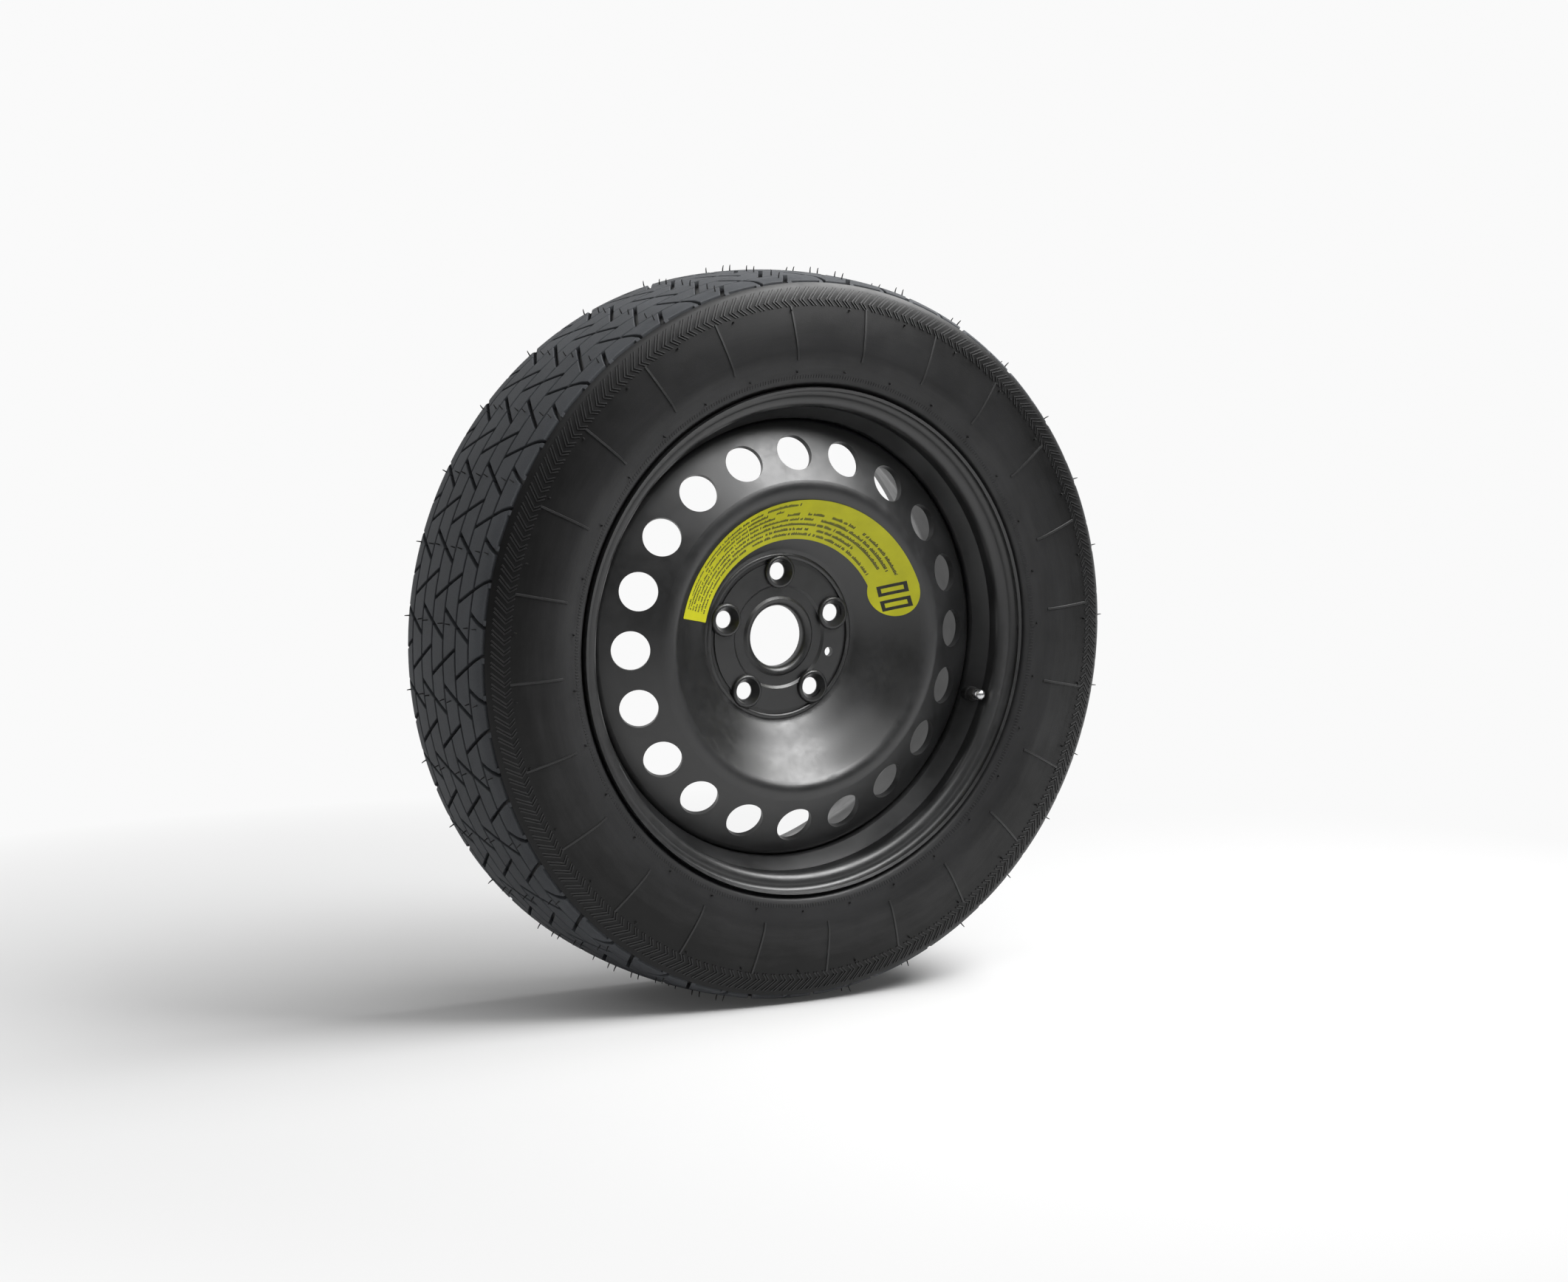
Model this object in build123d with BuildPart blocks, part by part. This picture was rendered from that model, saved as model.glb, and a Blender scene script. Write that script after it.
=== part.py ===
from build123d import *
from math import atan2, cos, degrees, hypot, radians, sin, sqrt, tan
import os

# Space saver spare wheel: a pressed steel wheel with a narrow tyre, a valve and a label.
# The wheel stands upright. Y is its spin axis and +Y points into the car, so the face that is seen looks
# towards -Y. Z is up. The origin is the middle of the tyre. Angles run clockwise from the top, seen from
# the front. A section is drawn as (radius, y). Lengths are in millimetres and angles in degrees.

# Tyre section
TYRE_RADIUS = 313.2
TYRE_WIDTH = 172.0
CROWN_RADIUS = 480.0
CROWN_HALF_WIDTH = 60.0
SHOULDER_DROP = 7.5
SHOULDER_INSET = 17.7
UPPER_WALL_DROP = 21.2
UPPER_WALL_INSET = 10.1
WIDEST_RISE = 33.0
LOWER_WALL_RISE = 14.0
LOWER_WALL_INSET = 1.4
FOOT_EDGE_RISE = 9.0
FOOT_EDGE_FILLET = 3.0
FOOT_RISE = 5.8
FOOT_INSET = 10.0
FOOT_FILLET = 2.0
TREAD_THICKNESS = 13.0
WALL_THICKNESS = 8.0
BEAD_WIDTH = 13.5
BEAD_HEEL_FILLET = 7.0
BEAD_TOE_HEIGHT = 4.7
BEAD_TOE_FILLET = 1.5
BEAD_TOE_DIRECTION = (1, 0.4)
BEAD_GAP = 0.1

# Tread pattern
PITCHES = 31
PATTERN_START = 263.46
RIB_WIDTH = 20.3
RIB_LINES = 6
RIB_LINE_WIDTH = 1.2
SHOULDER_LINE_WIDTH = 2.4
TREAD_DEPTH = 5.0
SLOT_LEAN = 31.3
FALLING_SLOT_WIDTH = 3.0
RISING_SLOT_WIDTH = 2.4

# Rim, a 16 inch B contour
RIM_WIDTH = 139.7
BEAD_SEAT_DIAMETER = 405.6
BEAD_SEAT_TAPER = 5.0
BEAD_SEAT_WIDTH = 14.5
FLANGE_HEIGHT = 14.2
FLANGE_CURL = 7.5
FLANGE_CURL_PAST_TOP = 25.0
FLANGE_FILLET = 6.0
RIM_SHEET = 2.6
WELL_DEPTH = 12.0
WELL_FRONT_SLOPE = 35.4
WELL_REAR_START = 15.0
WELL_FILLET = 4.0
WELL_REAR_FILLET = 12.0

# Disc
BOLT_CIRCLE_DIAMETER = 112.0
BOLTS = 5
BOLT_HOLE = 15.0
BOLT_SEAT = 23.0
BOLT_SEAT_ANGLE = 60.0
BOLT_BOSS = 29.0
BOLT_BOSS_HEIGHT = 3.4
BOLT_BOSS_ROUND = 2.6
OFFSET = 24.0
DISC_SHEET = 5.0
BORE = 52.6
BORE_BEND = 6.0
COLLAR_LENGTH = 10.0
HUB_RECESS_RADIUS = 43.0
HUB_RECESS_DEPTH = 1.8
HUB_RECESS_SLOPE = 2.2
GROOVE_RADIUS = 65.8
GROOVE_WIDTH = 3.6
GROOVE_DEPTH = 1.5
BEAD_RING_RADIUS = 69.6
BEAD_RING_ROUND = 3.0
BEAD_RING_HEIGHT = 1.2
DISH_FOOT_RADIUS = 73.0
DISH_FOOT_FILLET = 9.0
CREST_RADIUS = 129.0
CREST_HEIGHT = 42.5
CREST_FILLET = 15.0
VENT_RING_SLOPE = 28.5
SKIRT_FILLET = 9.0
SKIRT_END = -15.0
SKIRT_GAP = 0.05
VENTS = 20
VENT_DIAMETER = 33.0
VENT_RING_RADIUS = 160.15
LOCATING_HOLE = 8.0
LOCATING_RADIUS = 52.5
LOCATING_ANGLE = 108.0

# Welds between the disc's skirt and the rim
WELDS = 8
WELD_ARC = 24.0
WELD_LEG = 3.8
WELD_FACE_RADIUS = 5.7

# Label on the dish
LABEL_INNER_RADIUS = 83.0
LABEL_OUTER_RADIUS = 116.5
LABEL_START = -77.0
LABEL_END = 74.0
LABEL_LOBE_DIAMETER = 44.0
LABEL_LOBE_RADIUS_AT = 98.9
LABEL_THICKNESS = 0.2
LABEL_GAP = 0.15

# Tyre valve, heights run along its axis from the rim's face
VALVE_ANGLE = 108.0
VALVE_TILT = 16.0
VALVE_PLACE = 0.42
VALVE_HOLE = 11.3
STEM_COLLAR = 13.4
STEM_COLLAR_TOP = 7.0
STEM_COLLAR_CHAMFER = 1.0
STEM_FOOT = -16.0
STEM_FOOT_DIAMETER = 10.4
STEM_SHOULDER_DIAMETER = 11.6
STEM_TOP = 19.0
STEM_TOP_DIAMETER = 10.2
INSERT_DIAMETER = 5.4
INSERT_FOOT = -12.0
TIP_DIAMETER = 7.7
TIP_END = 29.0
AIR_BORE = 3.4
CORE_BORE = 5.2
CORE_SEAT = 17.0
CORE_CLEARANCE = 0.05
PLUG_LENGTH = 4.5
PLUG_INSET = 1.0
BARREL_DIAMETER = 3.6
BARREL_BORE = 2.6
BARREL_FLOOR = 0.6
BARREL_BELOW_SEAT = 1.0
GASKET_HEIGHT = 1.5
PIN_DIAMETER = 0.9
PIN_PROUD = 0.6
PIN_HOLE = 1.6
PIN_TRAVEL = 1.2
CUP_DIAMETER = 3.0
CUP_HEIGHT = 1.6
SEAL_HEIGHT = 0.7
SPRING_WIRE = 0.22
SPRING_TURNS = 5
CAP_DIAMETER = 9.2
CAP_START = 20.5
CAP_END = 32.5
CAP_CLEARANCE = 0.1
CAP_SEAL = 1.0


def section_at(angle):
    """Plane through the spin axis at an angle: its x is the radius and its y is Y."""
    outward = Vector(sin(radians(angle)), 0, cos(radians(angle)))
    return Plane(origin=(0, 0, 0), x_dir=outward, z_dir=outward.cross(Vector(0, 1, 0)))


SECTION = section_at(0)
# Looking from behind: x is up, y is right as seen from the front, z goes into the wheel.
FACE = Plane(origin=(0, 0, 0), x_dir=(0, 0, 1), z_dir=(0, 1, 0))

# Tyre

half_rim = RIM_WIDTH / 2
seat_radius = BEAD_SEAT_DIAMETER / 2
flange_radius = seat_radius + FLANGE_HEIGHT
curl_radius_at = flange_radius - FLANGE_CURL
half_tyre = TYRE_WIDTH / 2


def crown_radius_at(y):
    """Radius of the tread's crown at a distance from the middle."""
    return TYRE_RADIUS - CROWN_RADIUS + sqrt(CROWN_RADIUS**2 - y**2)


def seat_radius_at(y):
    """Radius of the rim's tapered bead seat at a distance from the middle."""
    return seat_radius - (half_rim - abs(y)) * tan(radians(BEAD_SEAT_TAPER))


crown_edge = (crown_radius_at(CROWN_HALF_WIDTH), CROWN_HALF_WIDTH)
crown_edge_direction = (-CROWN_HALF_WIDTH / CROWN_RADIUS, 1)
shoulder_radius = TYRE_RADIUS - SHOULDER_DROP
shoulder_y = half_tyre - SHOULDER_INSET
upper_wall_radius = TYRE_RADIUS - UPPER_WALL_DROP
upper_wall_y = half_tyre - UPPER_WALL_INSET
widest_radius = flange_radius + WIDEST_RISE
lower_wall = (flange_radius + LOWER_WALL_RISE, half_tyre - LOWER_WALL_INSET)
lower_wall_slope = tan(2 * atan2(LOWER_WALL_INSET, WIDEST_RISE - LOWER_WALL_RISE))
foot_edge_fall = (LOWER_WALL_RISE - FOOT_EDGE_RISE) * lower_wall_slope
foot_edge = (flange_radius + FOOT_EDGE_RISE, lower_wall[1] - foot_edge_fall)
foot = (flange_radius + FOOT_RISE, half_tyre - FOOT_INSET)
heel_y = half_rim - BEAD_GAP
toe_y = heel_y - BEAD_WIDTH
lining_radius = TYRE_RADIUS - TREAD_THICKNESS
bead_top = (curl_radius_at + FLANGE_CURL / 2, heel_y)
toe_top = (seat_radius + BEAD_TOE_HEIGHT, toe_y)

rib_lines = [(i - (RIB_LINES - 1) / 2) * RIB_WIDTH for i in range(RIB_LINES)]
# Each rib runs straight across, from line to line of the crown's curve.
crown = [(TYRE_RADIUS, 0), (TYRE_RADIUS, RIB_WIDTH / 2)]
crown += [(crown_radius_at(y), y) for y in rib_lines if y > RIB_WIDTH / 2]
crown += [crown_edge]


def shoulder_turn(y):
    """Angle of the shoulder's face, where its ring is cut square to it."""
    run = upper_wall_y - CROWN_HALF_WIDTH
    drop = crown_edge[0] - upper_wall_radius
    return degrees(atan2(drop, run)) * (1 if y > 0 else -1)


def slot_planes(lean):
    """Planes of the slots of one lean, with x along the slot and z square to the tread."""
    side = 1 if lean > 0 else -1
    planes = []
    for row in range(RIB_LINES // 2 + 1):
        y = (2 * row - (RIB_LINES + side) / 2) * RIB_WIDTH
        fall = y / CROWN_RADIUS
        for pitch in range(PITCHES):
            outward = section_at(PATTERN_START + 360 / PITCHES * (pitch + (1 - side) / 4)).x_dir
            across = Vector(0, 1, 0) - outward * fall
            clockwise = Vector(0, 1, 0).cross(outward)
            along = across.normalized() + clockwise * tan(radians(lean))
            centre = outward * crown_radius_at(y) + Vector(0, y, 0)
            planes.append(Plane(origin=centre, x_dir=along, z_dir=outward + Vector(0, fall, 0)))
    return planes


with BuildPart() as tyre:
    with BuildSketch(SECTION):
        with BuildLine():
            Polyline(*crown)
            Spline(
                crown_edge,
                (shoulder_radius, shoulder_y),
                (upper_wall_radius, upper_wall_y),
                (widest_radius, half_tyre),
                tangents=(crown_edge_direction, (-1, 0)),
            )
            TangentArc((widest_radius, half_tyre), lower_wall, tangent=(-1, 0))
            FilletPolyline(
                lower_wall,
                foot_edge,
                foot,
                bead_top,
                (seat_radius_at(heel_y) + BEAD_GAP, heel_y),
                (seat_radius_at(toe_y) + BEAD_GAP, toe_y),
                toe_top,
                radius=[FOOT_EDGE_FILLET, FOOT_FILLET, FOOT_FILLET, BEAD_HEEL_FILLET, BEAD_TOE_FILLET],
            )
            Spline(
                toe_top,
                (widest_radius, half_tyre - WALL_THICKNESS),
                (upper_wall_radius - WALL_THICKNESS, upper_wall_y - WALL_THICKNESS),
                (lining_radius, 0),
                tangents=(BEAD_TOE_DIRECTION, (0, -1)),
            )
            mirror(about=Plane.XZ)
        make_face()
    revolve(axis=Axis.Y)
    # Rings that part the ribs, then the slanting slots that part each rib into blocks.
    with BuildSketch(SECTION):
        for y in rib_lines:
            with Locations((crown_radius_at(y), y)):
                Rectangle(2 * TREAD_DEPTH, RIB_LINE_WIDTH)
        for y in (-shoulder_y, shoulder_y):
            with Locations((shoulder_radius, y)):
                Rectangle(2 * TREAD_DEPTH, SHOULDER_LINE_WIDTH, rotation=shoulder_turn(y))
    revolve(axis=Axis.Y, mode=Mode.SUBTRACT)
    for lean, width in ((SLOT_LEAN, FALLING_SLOT_WIDTH), (-SLOT_LEAN, RISING_SLOT_WIDTH)):
        with Locations(*slot_planes(lean)):
            Box(2 * RIB_WIDTH / cos(radians(lean)), width, 2 * TREAD_DEPTH, mode=Mode.SUBTRACT)
tyre.part.label = "tyre"

# Rim

well_radius = seat_radius - WELL_DEPTH
seat_end = half_rim - BEAD_SEAT_WIDTH
seat_end_radius = seat_radius_at(seat_end)
slope_rise = seat_end_radius - well_radius
front_slope_run = slope_rise / tan(radians(WELL_FRONT_SLOPE))
well_front = front_slope_run - seat_end
slope_length = hypot(slope_rise, front_slope_run)
face_inward = RIM_SHEET * front_slope_run / slope_length
face_forward = RIM_SHEET * slope_rise / slope_length

# The valve stands on the rim's front slope and leans in from the spin axis's direction.
valve_out = section_at(VALVE_ANGLE).x_dir
valve_foot_radius = well_radius + VALVE_PLACE * slope_rise - face_inward
valve_foot_y = well_front - VALVE_PLACE * front_slope_run - face_forward
valve_foot = valve_out * valve_foot_radius + Vector(0, valve_foot_y, 0)
valve_along = valve_out * -sin(radians(VALVE_TILT)) - Vector(0, cos(radians(VALVE_TILT)), 0)
valve_side = section_at(VALVE_ANGLE).z_dir
VALVE = Plane(origin=valve_foot, x_dir=valve_side, z_dir=valve_along)
VALVE_SECTION = Plane(origin=valve_foot, x_dir=valve_side, z_dir=valve_side.cross(valve_along))
VALVE_AXIS = Axis(valve_foot, valve_along)


def curl_point(side, past_top):
    """Point on the tyre's side of a flange's curl, by its angle past the top."""
    turn = radians(past_top)
    y = half_rim + FLANGE_CURL + FLANGE_CURL * sin(turn)
    return (curl_radius_at + FLANGE_CURL * cos(turn), side * y)


with BuildPart() as rim:
    with BuildSketch(SECTION):
        with BuildLine():
            FilletPolyline(
                curl_point(-1, -90),
                (seat_radius, -half_rim),
                (seat_end_radius, -seat_end),
                (well_radius, well_front),
                (well_radius, WELL_REAR_START),
                (seat_end_radius, seat_end),
                (seat_radius, half_rim),
                curl_point(1, -90),
                radius=[FLANGE_FILLET, WELL_FILLET, WELL_FILLET, WELL_REAR_FILLET,
                        WELL_REAR_FILLET, FLANGE_FILLET],
            )
            for side in (-1, 1):
                ThreePointArc(
                    curl_point(side, -90),
                    curl_point(side, (FLANGE_CURL_PAST_TOP - 90) / 2),
                    curl_point(side, FLANGE_CURL_PAST_TOP),
                )
            offset(amount=RIM_SHEET, side=Side.LEFT)
        make_face()
    revolve(axis=Axis.Y)
    with Locations(VALVE):
        Cylinder(VALVE_HOLE / 2, 2 * STEM_COLLAR, mode=Mode.SUBTRACT)
rim.part.label = "rim"

# Disc

hub_y = -OFFSET - DISC_SHEET
skirt_radius = well_radius - RIM_SHEET - SKIRT_GAP
crest_y = hub_y - CREST_HEIGHT
vent_slope = tan(radians(VENT_RING_SLOPE))
skirt_corner_y = crest_y + (skirt_radius - CREST_RADIUS) * vent_slope
vent_y = crest_y + (VENT_RING_RADIUS - CREST_RADIUS) * vent_slope
bore_radius = BORE / 2
punch_length = 6 * DISC_SHEET


def vent_planes():
    """Planes of the vent holes, square to the sloping ring that they are punched in."""
    planes = []
    for vent in range(VENTS):
        outward = section_at(360 / VENTS * vent).x_dir
        centre = outward * VENT_RING_RADIUS + Vector(0, vent_y, 0)
        normal = outward * vent_slope - Vector(0, 1, 0)
        planes.append(Plane(origin=centre, z_dir=normal))
    return planes


with BuildPart() as disc:
    with BuildSketch(SECTION):
        with BuildLine():
            FilletPolyline(
                (bore_radius, hub_y + COLLAR_LENGTH),
                (bore_radius, hub_y),
                (DISH_FOOT_RADIUS, hub_y),
                (CREST_RADIUS, crest_y),
                (skirt_radius, skirt_corner_y),
                (skirt_radius, SKIRT_END),
                radius=[BORE_BEND, DISH_FOOT_FILLET, CREST_FILLET, SKIRT_FILLET],
            )
            offset(amount=DISC_SHEET, side=Side.LEFT)
        make_face()
    revolve(axis=Axis.Y)
    # Raised ring at the dish's foot, then the recess of the hub's middle and the groove round the seats.
    with BuildSketch(SECTION):
        with Locations((BEAD_RING_RADIUS, hub_y - BEAD_RING_HEIGHT + BEAD_RING_ROUND)):
            Circle(BEAD_RING_ROUND)
    revolve(axis=Axis.Y)
    with BuildSketch(SECTION):
        with BuildLine():
            Polyline(
                (bore_radius + BORE_BEND, hub_y),
                (HUB_RECESS_RADIUS + HUB_RECESS_SLOPE, hub_y),
                (HUB_RECESS_RADIUS, hub_y + HUB_RECESS_DEPTH),
                (bore_radius + BORE_BEND + HUB_RECESS_SLOPE, hub_y + HUB_RECESS_DEPTH),
                close=True,
            )
        make_face()
        with Locations((GROOVE_RADIUS, hub_y)):
            Rectangle(GROOVE_WIDTH, 2 * GROOVE_DEPTH)
    revolve(axis=Axis.Y, mode=Mode.SUBTRACT)
    with BuildSketch(FACE.offset(hub_y)):
        with PolarLocations(BOLT_CIRCLE_DIAMETER / 2, BOLTS):
            Circle(BOLT_BOSS / 2)
    boss = extrude(amount=-BOLT_BOSS_HEIGHT)
    fillet(boss.faces().sort_by(Axis.Y)[:BOLTS].edges(), BOLT_BOSS_ROUND)
    with Locations(FACE.offset(hub_y - BOLT_BOSS_HEIGHT)):
        with PolarLocations(BOLT_CIRCLE_DIAMETER / 2, BOLTS):
            Cone(
                BOLT_SEAT / 2,
                BOLT_HOLE / 2,
                (BOLT_SEAT - BOLT_HOLE) / 2 / tan(radians(BOLT_SEAT_ANGLE / 2)),
                align=(Align.CENTER, Align.CENTER, Align.MIN),
                mode=Mode.SUBTRACT,
            )
            Cylinder(BOLT_HOLE / 2, punch_length, mode=Mode.SUBTRACT)
        with PolarLocations(LOCATING_RADIUS, 1, LOCATING_ANGLE):
            Cylinder(LOCATING_HOLE / 2, punch_length, mode=Mode.SUBTRACT)
    with Locations(*vent_planes()):
        Cylinder(VENT_DIAMETER / 2, punch_length, mode=Mode.SUBTRACT)
disc.part.label = "disc"

# Welds

with BuildPart() as disc_welds:
    for weld in range(WELDS):
        with BuildSketch(section_at(360 / WELDS * weld)):
            with BuildLine():
                Polyline(
                    (skirt_radius - WELD_LEG, SKIRT_END),
                    (skirt_radius, SKIRT_END),
                    (skirt_radius, SKIRT_END + WELD_LEG),
                )
                RadiusArc(
                    (skirt_radius, SKIRT_END + WELD_LEG),
                    (skirt_radius - WELD_LEG, SKIRT_END),
                    WELD_FACE_RADIUS,
                )
            make_face()
        revolve(axis=Axis.Y, revolution_arc=WELD_ARC)
disc_welds.part.label = "disc_welds"

# Label

dish_slope = CREST_HEIGHT / (CREST_RADIUS - DISH_FOOT_RADIUS)


def dish_y(radius):
    """Place of the dish's front face along the spin axis, at a radius."""
    return hub_y - (radius - DISH_FOOT_RADIUS) * dish_slope


def dish_strip(inner, outer):
    """Corners of a thin layer's section, which lies on the dish between two radii."""
    low = LABEL_GAP * hypot(1, dish_slope)
    high = (LABEL_GAP + LABEL_THICKNESS) * hypot(1, dish_slope)
    low_edge = [(inner, dish_y(inner) - low), (outer, dish_y(outer) - low)]
    high_edge = [(outer, dish_y(outer) - high), (inner, dish_y(inner) - high)]
    return low_edge + high_edge


lobe_radius = LABEL_LOBE_DIAMETER / 2
lobe_inner = LABEL_LOBE_RADIUS_AT - lobe_radius
lobe_outer = LABEL_LOBE_RADIUS_AT + lobe_radius
lobe_reach = degrees(lobe_radius / lobe_inner)

with BuildPart() as lobe:
    with BuildSketch(section_at(LABEL_END - lobe_reach)):
        with BuildLine():
            Polyline(*dish_strip(lobe_inner, lobe_outer), close=True)
        make_face()
    revolve(axis=Axis.Y, revolution_arc=2 * lobe_reach)
    with Locations(section_at(LABEL_END)):
        with Locations((LABEL_LOBE_RADIUS_AT, dish_y(LABEL_LOBE_RADIUS_AT))):
            Cylinder(
                lobe_radius,
                LABEL_LOBE_DIAMETER,
                rotation=(90 - degrees(atan2(dish_slope, 1)), 0, 0),
                mode=Mode.INTERSECT,
            )
with BuildPart() as label:
    with BuildSketch(section_at(LABEL_START)):
        with BuildLine():
            Polyline(*dish_strip(LABEL_INNER_RADIUS, LABEL_OUTER_RADIUS), close=True)
        make_face()
    revolve(axis=Axis.Y, revolution_arc=LABEL_END - LABEL_START)
    add(lobe.part)
label.part.label = "label"

# Tyre valve


def turned(*points):
    """Closed section of a turned valve piece, as (radius, height) on the valve's axis."""
    with BuildSketch(VALVE_SECTION) as outline:
        with BuildLine():
            Polyline(*points, close=True)
        make_face()
    return outline.sketch


collar_radius = STEM_COLLAR / 2
insert_radius = INSERT_DIAMETER / 2
tip_radius = TIP_DIAMETER / 2
core_radius = CORE_BORE / 2

# The rubber is pressed against both faces of the rim's sheet and fills its hole.
with BuildPart() as valve_stem:
    add(
        turned(
            (AIR_BORE / 2, STEM_FOOT),
            (STEM_FOOT_DIAMETER / 2, STEM_FOOT),
            (collar_radius, -STEM_COLLAR_TOP - STEM_COLLAR_CHAMFER),
            (collar_radius, STEM_COLLAR_TOP - STEM_COLLAR_CHAMFER),
            (STEM_SHOULDER_DIAMETER / 2, STEM_COLLAR_TOP + STEM_COLLAR_CHAMFER),
            (STEM_TOP_DIAMETER / 2, STEM_TOP),
            (insert_radius, STEM_TOP),
            (insert_radius, INSERT_FOOT),
            (AIR_BORE / 2, INSERT_FOOT),
        )
    )
    revolve(axis=VALVE_AXIS)
    add(rim.part, mode=Mode.SUBTRACT)
valve_stem.part.label = "valve_stem"

with BuildPart() as valve_insert:
    add(
        turned(
            (AIR_BORE / 2, INSERT_FOOT),
            (insert_radius, INSERT_FOOT),
            (insert_radius, STEM_TOP),
            (tip_radius, STEM_TOP),
            (tip_radius, TIP_END),
            (core_radius, TIP_END),
            (core_radius, CORE_SEAT + core_radius - BARREL_DIAMETER / 2),
            (BARREL_DIAMETER / 2 + CORE_CLEARANCE, CORE_SEAT),
            (BARREL_DIAMETER / 2 + CORE_CLEARANCE, CORE_SEAT - PIN_TRAVEL - 2 * CUP_HEIGHT),
            (AIR_BORE / 2, CORE_SEAT - PIN_TRAVEL - 2 * CUP_HEIGHT),
        )
    )
    revolve(axis=VALVE_AXIS)
valve_insert.part.label = "valve_insert"

barrel_radius = BARREL_DIAMETER / 2
plug_top = TIP_END - PLUG_INSET
plug_foot = plug_top - PLUG_LENGTH
pin_radius = PIN_DIAMETER / 2
gasket_top = CORE_SEAT + core_radius - barrel_radius + GASKET_HEIGHT
barrel_foot = CORE_SEAT - BARREL_BELOW_SEAT
cup_top = barrel_foot - CORE_CLEARANCE
pin_top = plug_top + PIN_PROUD
spring_low = barrel_foot + BARREL_FLOOR
spring_high = plug_foot - PIN_DIAMETER

with BuildPart() as core_plug:
    add(
        turned(
            (PIN_HOLE / 2, plug_foot),
            (core_radius - CORE_CLEARANCE, plug_foot),
            (core_radius - CORE_CLEARANCE, plug_top - PLUG_LENGTH / 3),
            (barrel_radius, plug_top),
            (PIN_HOLE / 2, plug_top),
        )
    )
    revolve(axis=VALVE_AXIS)
core_plug.part.label = "core_plug"

with BuildPart() as core_barrel:
    add(
        turned(
            (PIN_HOLE / 2, barrel_foot),
            (barrel_radius, barrel_foot),
            (barrel_radius, plug_foot),
            (BARREL_BORE / 2, plug_foot),
            (BARREL_BORE / 2, spring_low),
            (PIN_HOLE / 2, spring_low),
        )
    )
    revolve(axis=VALVE_AXIS)
core_barrel.part.label = "core_barrel"

with BuildPart() as core_gasket:
    add(
        turned(
            (barrel_radius + CORE_CLEARANCE / 2, CORE_SEAT + CORE_CLEARANCE),
            (core_radius - CORE_CLEARANCE, CORE_SEAT + core_radius - barrel_radius),
            (core_radius - CORE_CLEARANCE, gasket_top),
            (barrel_radius + CORE_CLEARANCE / 2, gasket_top),
        )
    )
    revolve(axis=VALVE_AXIS)
core_gasket.part.label = "core_gasket"

# The pin's collar holds the spring's upper end, and its foot holds the cup.
with BuildPart() as core_pin:
    add(
        turned(
            (0, cup_top - CUP_HEIGHT),
            (pin_radius, cup_top - CUP_HEIGHT),
            (pin_radius, spring_high),
            (BARREL_BORE / 2 - 2 * CORE_CLEARANCE, spring_high),
            (BARREL_BORE / 2 - 2 * CORE_CLEARANCE, spring_high + pin_radius),
            (pin_radius, spring_high + 2 * pin_radius - CORE_CLEARANCE),
            (pin_radius, pin_top),
            (0, pin_top),
        )
    )
    revolve(axis=VALVE_AXIS)
core_pin.part.label = "core_pin"

with BuildPart() as core_cup:
    add(
        turned(
            (pin_radius, cup_top - CUP_HEIGHT),
            (CUP_DIAMETER / 2, cup_top - CUP_HEIGHT),
            (CUP_DIAMETER / 2, cup_top - SEAL_HEIGHT / 2),
            (CUP_DIAMETER / 2 - pin_radius / 2, cup_top - SEAL_HEIGHT / 2),
            (CUP_DIAMETER / 2 - pin_radius / 2, cup_top - SEAL_HEIGHT),
            (pin_radius, cup_top - SEAL_HEIGHT),
        )
    )
    revolve(axis=VALVE_AXIS)
core_cup.part.label = "core_cup"

with BuildPart() as core_seal:
    add(
        turned(
            (pin_radius, cup_top - SEAL_HEIGHT),
            (CUP_DIAMETER / 2 - pin_radius / 2, cup_top - SEAL_HEIGHT),
            (CUP_DIAMETER / 2 - pin_radius / 2, cup_top),
            (pin_radius, cup_top),
        )
    )
    revolve(axis=VALVE_AXIS)
core_seal.part.label = "core_seal"

spring_radius = (PIN_DIAMETER + BARREL_BORE) / 4
spring_height = spring_high - spring_low - SPRING_WIRE - 2 * CORE_CLEARANCE

with BuildPart() as core_spring:
    with BuildLine() as coil:
        Helix(
            pitch=spring_height / SPRING_TURNS,
            height=spring_height,
            radius=spring_radius,
            center=VALVE.offset(spring_low + SPRING_WIRE / 2 + CORE_CLEARANCE).origin,
            direction=valve_along,
        )
    with BuildSketch(Plane(origin=coil.line @ 0, z_dir=coil.line % 0)):
        RegularPolygon(SPRING_WIRE / 2, 4)
    sweep(is_frenet=True)
core_spring.part.label = "core_spring"

cap_radius = CAP_DIAMETER / 2
cap_bore = tip_radius + CAP_CLEARANCE
cap_roof = TIP_END + CAP_CLEARANCE + CAP_SEAL

with BuildPart() as valve_cap:
    with BuildSketch(VALVE_SECTION):
        with BuildLine():
            Polyline(
                (0, cap_roof),
                (cap_bore, cap_roof),
                (cap_bore, CAP_START),
                (cap_radius, CAP_START),
                (cap_radius, CAP_END - cap_radius),
            )
            RadiusArc((cap_radius, CAP_END - cap_radius), (0, CAP_END), -cap_radius)
            Line((0, CAP_END), (0, cap_roof))
        make_face()
    revolve(axis=VALVE_AXIS)
valve_cap.part.label = "valve_cap"

with BuildPart() as cap_seal:
    with Locations(VALVE.offset(TIP_END + CAP_CLEARANCE)):
        Cylinder(
            tip_radius,
            CAP_SEAL,
            align=(Align.CENTER, Align.CENTER, Align.MIN),
        )
        Cylinder(PIN_HOLE / 2, 2 * CAP_SEAL, mode=Mode.SUBTRACT)
cap_seal.part.label = "cap_seal"

os.makedirs("parts", exist_ok=True)
valve = [valve_stem, valve_insert, core_plug, core_barrel, core_gasket, core_pin, core_cup, core_seal]
valve += [core_spring, valve_cap, cap_seal]
for piece in [tyre, rim, disc, disc_welds, label] + valve:
    export_step(piece.part, f"parts/{piece.part.label}.step")
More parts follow.
